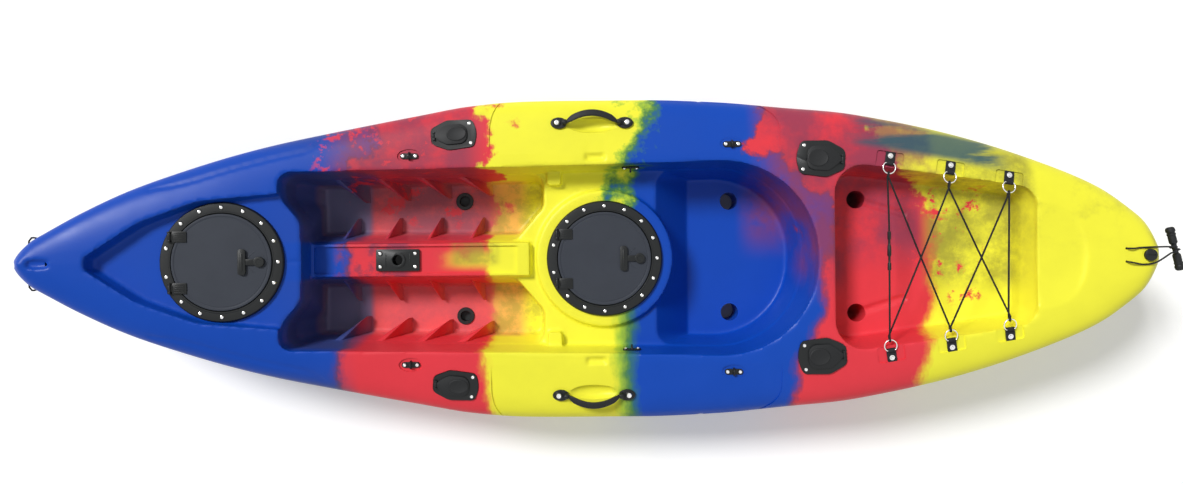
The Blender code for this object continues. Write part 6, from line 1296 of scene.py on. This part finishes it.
# Six tie-downs: a doubled tab of woven webbing under one screw and washer, with a ring of bent and welded
# steel wire in its fold.
RING_HEIGHT = 0.006
RING_RADIUS = 0.0145
FOLD_Y = 0.019
stock("webbing", (0.018, 0.019, 0.022, 1.0), 0.25, 0.50, 1500.0, 0.00030)
for (number, word), place in TIES.items():
    tab = f"tie_down_{number}_tab_{word}"
    parts = [block(place, (0.022, 0.0327, 0.0032), (0.0, 0.00635, SEAT_GAP), 0.0015),
             bar_in(place, (-0.0075, FOLD_Y, RING_HEIGHT), (0.0075, FOLD_Y, RING_HEIGHT), 0.0046)]
    parts += [block(place, (0.0016, 0.0300, 0.0003), (x, 0.0060, 0.0034), 0.0005) for x in (-0.0082, 0.0082)]
    piece(f"{tab}_fold", parts, "kayak", "webbing", [tab], 0.0004)
    washer = [(0.0062, 0.0034), (0.0062, 0.0042), (0.0050, 0.0044)]
    piece(f"{tab}_screw", [turned(place, washer, 32), screw_head(at(place, 0.0, 0.0, 0.0042))], "kayak",
          "stainless_steel")
    reach = [math.radians(-46.0 + 272.0 * i / 36) for i in range(37)]
    loop = [(RING_RADIUS * math.cos(a), 0.0105 + RING_RADIUS * math.sin(a)) for a in reach]
    loop = [(x, y) for x, y in loop if y > 0.0]
    loop = [(0.0, 0.0), (loop[0][0] * 0.5, 0.0)] + loop + [(loop[-1][0] * 0.5, 0.0)]
    ring = [place @ Vector((x, FOLD_Y + y, RING_HEIGHT)) for x, y in loop]
    piece(f"tie_ring_{number}_{word}", [tube(ring, 0.0015, 12, closed=True)], "kayak", "stainless_steel",
          [f"tie_down_{number}_ring_{word}"])


# The bungee is one braided elastic cord, laced tight through the six rings. A moulded connector joins its ends.
# The cords at the stern and the bow are braided too, but thinner and without rubber in them.
stock("cord", (0.012, 0.012, 0.014, 1.0), 0.35, 0.45, 1800.0, 0.00040)
BUNGEE_RADIUS = 0.0022
TURN_RADIUS = 0.0041
RING_INNER = 0.044
JOIN_Y = -0.014
JOIN_GAP = 0.0463


def cord_curve(name, points, radius, node):
    """A cord on the hull, as one open spline in place of its CAD node. Returns it with its length."""
    data = bpy.data.curves.new(name, "CURVE")
    data.dimensions = "3D"
    data.bevel_depth = radius
    data.bevel_resolution = 4
    data.use_fill_caps = True
    spline = data.splines.new("POLY")
    spline.points.add(len(points) - 1)
    for knot, point in zip(spline.points, points):
        knot.co = (*point, 1.0)
    data.materials.append(MATERIALS["cord"])
    obj = bpy.data.objects.new(name, data)
    bpy.context.scene.collection.objects.link(obj)
    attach(obj, "kayak")
    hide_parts(node)
    return obj, sum((b - a).length for a, b in zip(points, points[1:]))


def smoothed(points, spacing):
    """Points along a smooth line through the given ones."""
    line = []
    ends = [points[0] * 2.0 - points[1], *points, points[-1] * 2.0 - points[-2]]
    for a, b, c, d in zip(ends, ends[1:], ends[2:], ends[3:]):
        count = max(1, round((c - b).length / spacing))
        for i in range(count):
            t = i / count
            line.append(0.5 * ((2 * b) + (c - a) * t + (2 * a - 5 * b + 4 * c - d) * t ** 2
                               + (3 * b - a - 3 * c + d) * t ** 3))
    return line + [points[-1].copy()]


LACING = [(1, "port"), (2, "starboard"), (3, "port"), (3, "starboard"), (2, "port"), (1, "starboard")]
AROUND = ((2.2, 1.0), (0.0, 1.0), (-0.72, 0.70), (-1.0, 0.0), (-0.72, -0.70), (0.0, -1.0), (2.2, -1.0))
turns_made = []
for key in LACING:
    turn = [(RING_INNER + TURN_RADIUS * across, RING_HEIGHT + TURN_RADIUS * up) for across, up in AROUND]
    turns_made.append([TIES[key] @ Vector((0.0, y, z)) for y, z in turn])
first = (turns_made[0][3] + turns_made[-1][3]) / 2.0
toward = (turns_made[0][3] - turns_made[-1][3]).normalized()
join = Vector((first.x, JOIN_Y, first.z))
route = [join + toward * JOIN_GAP, join + toward * (JOIN_GAP + 0.02)]
over = 1.0
for number, turn in enumerate(turns_made):
    if number:
        start = route[-1]
        middle = (start + turn[0]) / 2.0
        if number != 3:
            middle.z += over * 0.0030
            over = -over
        route += [start.lerp(middle, 0.5), middle, turn[0].lerp(middle, 0.5)]
    route += turn
route += [join - toward * (JOIN_GAP + 0.02), join - toward * JOIN_GAP]
bungee, bungee_length = cord_curve("bungee", route, BUNGEE_RADIUS, "bungee_cord")
sleeve, neck, reach = 0.0042, 0.0028, 0.046
profile = [(sleeve * 0.8, -reach), (sleeve, -reach + 0.001), (sleeve, -0.62 * reach), (neck, -0.56 * reach),
           (neck, -0.34 * reach), (sleeve, -0.26 * reach), (1.1 * sleeve, 0.0), (1.1 * sleeve, 0.22 * reach),
           (neck, 0.30 * reach), (neck, 0.60 * reach), (sleeve, 0.66 * reach), (sleeve, reach - 0.001),
           (sleeve * 0.8, reach)]
lie = Matrix.Translation(join) @ toward.to_track_quat("Z", "Y").to_matrix().to_4x4()
connector = piece("bungee_sleeve", [turned(lie, profile, 24)], "kayak", "black_plastic",
                  ["bungee_connector"])


# The accessory base on the console is a nylon plate under four screws. Its round socket takes the mount of a
# fish finder or a rod.
plate = form(prism(BASE_FRAME, rounded_slab(0.108, 0.054, 0.004), SEAT_GAP, 0.007), "plate")
cup = bar_in(BASE_FRAME, (0, 0, -0.030), (0, 0, 0.011), 0.019, 64)
socket = bar_in(BASE_FRAME, (0, 0, -0.027), (0, 0, 0.030), 0.013, 64)
carve(plate, steps_of("UNION", "cup", [cup]) + steps_of("DIFFERENCE", "socket", [socket]))
parts = [released(plate)]
corners = [(x, y) for x in (-0.0435, 0.0435) for y in (-0.0165, 0.0165)]
boss = [(0.0066, 0.0066), (0.0062, 0.0078), (0.0050, 0.0078)]
parts += [turned(at(BASE_FRAME, x, y), boss, 24) for x, y in corners]
for x in (-0.030, 0.030):
    parts.append(block(BASE_FRAME, (0.0016, 0.034, 0.0010), (x, 0.0, 0.0068), 0.0005))
piece("accessory_plate", parts, "kayak", "black_plastic", ["accessory_base"], 0.0006)
screws = [screw_head(at(BASE_FRAME, x, y, 0.0076)) for x, y in corners]
piece("accessory_screws", screws, "kayak", "stainless_steel")


# The scupper plugs are soft rubber, moulded with a dished top to pull them out by. They are pushed into the
# footwells' scuppers and hold by their squeeze.
for side, word in SIDES:
    place = Matrix.Translation((PLUGGED[0], side * PLUGGED[1], FOOTWELL_FLOOR_Z))
    profile = [(0.0120, -0.046), (0.0141, -0.045), (0.0164, -0.004), (0.0164, SEAT_GAP), (0.0225, SEAT_GAP),
               (0.0225, 0.0030), (0.0216, 0.0040), (0.0140, 0.0040), (0.0131, 0.0030), (0.0125, -0.0120),
               (0.0010, -0.0130)]
    piece(f"plug_{word}", [turned(place, profile, 64)], f"{word}_scupper_plug", "rubber",
          [f"scupper_plug_{word}"])


# The drain plug is a moulded nylon screw that closes the hull at the stern over a rubber seal. Its head has a
# slot for a coin.
seal = [(0.0082, SEAT_GAP), (0.0130, SEAT_GAP), (0.0131, 0.0014), (0.0128, 0.0025), (0.0084, 0.0025)]
piece("drain_seal_ring", [turned(DRAIN, seal, 48, ring=True)], "drain_seal", "rubber", ["drain_plug_seal"])
knob = [(0.0136, 0.0028), (0.0140, 0.0034), (0.0140, 0.0086), (0.0128, 0.0098), (0.0010, 0.0098)]
head = form(turned(DRAIN, knob, 64), "head")
slot = block(DRAIN, (0.0182, 0.0040, 0.0060), (0.0, 0.0, 0.0068), 0.001)
carve(head, steps_of("DIFFERENCE", "slot", [slot]))
THREAD_PITCH = 0.0018
shank = [(0.0070, -0.0132), (0.0078, -0.0124)]
for number in range(7):
    shank += [(0.0080, -0.0116 + number * THREAD_PITCH), (0.0072, -0.0107 + number * THREAD_PITCH)]
shank.append((0.0080, 0.0036))
piece("drain_screw_head", [released(head), turned(DRAIN, shank, 48)], "drain_screw", "black_plastic",
      ["drain_plug"], 0.0004)


# The stern toggle is a moulded rubber grip. Its cord comes out of the deck, takes one turn round the grip's
# waist and goes back into the deck.
GRIP_AT = Vector((-1.376, -0.0135, 0.324))
GRIP_YAW = math.radians(104.0)
GRIP_WAIST = 0.0058
lying = Matrix.Rotation(GRIP_YAW, 4, "Z") @ Matrix.Rotation(math.pi / 2.0, 4, "Y")
grip = Matrix.Translation(GRIP_AT) @ lying
side_profile = [(0.0065, 0.0520), (0.0092, 0.0500), (0.0104, 0.0460), (0.0104, 0.0420), (0.0088, 0.0395),
                (0.0086, 0.0375), (0.0098, 0.0360), (0.0098, 0.0335), (0.0086, 0.0320), (0.0090, 0.0280),
                (0.0090, 0.0150), (0.0074, 0.0125), (GRIP_WAIST, 0.0105)]
profile = [(r, -z) for r, z in side_profile] + [(r, z) for r, z in reversed(side_profile)]
toggle = piece("toggle_grip", [turned(grip, profile, 40)], "toggle", "rubber", ["stern_toggle"])

HOLE_X, HOLE_Y = STERN_HOLE
TIP_X = -LENGTH / 2.0
REST = 0.0034
CORD_RADIUS = 0.0020
WRAP = GRIP_WAIST + CORD_RADIUS + 0.0018


def on_deck(x, y, lift=0.0):
    """A point of a cord that rests on the deck."""
    return Vector((x, y, deck_z(x, y) + REST + lift))


top = deck_z(TIP_X, 0.0) + REST
points = [on_deck(HOLE_X, HOLE_Y, -0.006 - REST), on_deck(HOLE_X, HOLE_Y, -REST),
          on_deck(HOLE_X - 0.003, HOLE_Y + 0.0008, 0.0055), on_deck(HOLE_X - 0.014, HOLE_Y + 0.003, 0.006),
          on_deck(HOLE_X - 0.036, HOLE_Y + 0.0065, 0.001), on_deck(HOLE_X - 0.062, HOLE_Y + 0.003, 0.001),
          on_deck(HOLE_X - 0.084, HOLE_Y - 0.010, 0.001), on_deck(TIP_X + 0.010, -0.0035, 0.002),
          Vector((TIP_X - 0.002, -0.0075, top + 0.002))]
for i in range(9):
    turn = math.radians(70.0 + 290.0 * i / 8)
    points.append(Vector((GRIP_AT.x + WRAP * math.cos(turn), GRIP_AT.y + 0.0035 - 0.007 * i / 8,
                          GRIP_AT.z + WRAP * math.sin(turn))))
front = GRIP_AT.x + WRAP
points += [Vector((front + 0.0006, -0.0175, GRIP_AT.z + 0.013)),
           Vector((front + 0.0036, -0.0181, top - 0.0020)),
           Vector((TIP_X - 0.001, -0.0185, top + 0.0026)), on_deck(TIP_X + 0.012, -0.0187, 0.002),
           on_deck(TIP_X + 0.024, -0.0187, 0.001), on_deck(HOLE_X - 0.052, -0.018, 0.001),
           on_deck(HOLE_X - 0.025, -0.0167, 0.001), on_deck(HOLE_X - 0.013, -HOLE_Y, 0.006),
           on_deck(HOLE_X - 0.003, -HOLE_Y, 0.0055), on_deck(HOLE_X, -HOLE_Y, -REST),
           on_deck(HOLE_X, -HOLE_Y, -0.006 - REST)]
points = smoothed(points, 0.0062)
stern_cord, stern_length = cord_curve("toggle_cord", points, CORD_RADIUS, "stern_toggle_cord")


# A loop of braided cord serves as the bow's grab line. It goes through two holes in the nose, is knotted inside
# them and hangs under the stem.
x, z = BOW_HOLE_X, bow_hole_z
wide = half_beam(x)
keel = line_value(KEEL_LINE, x)
side_points = [(wide - 0.006, z), (wide, z), (wide + 0.006, z - 0.0006), (wide + 0.0135, z - 0.010),
               (wide + 0.0125, z - 0.030), (wide + 0.006, z - 0.070), (wide - 0.010, z - 0.110),
               (wide - 0.030, keel - 0.006)]
points = [Vector((x, y, height)) for y, height in side_points] + [Vector((x - 0.002, 0.0, keel - 0.020))]
points += [Vector((x, -y, height)) for y, height in reversed(side_points)]
points = smoothed(points, 0.0115)
bow_cord, bow_length = cord_curve("bow_loop", points, CORD_RADIUS, "bow_grab_cord")
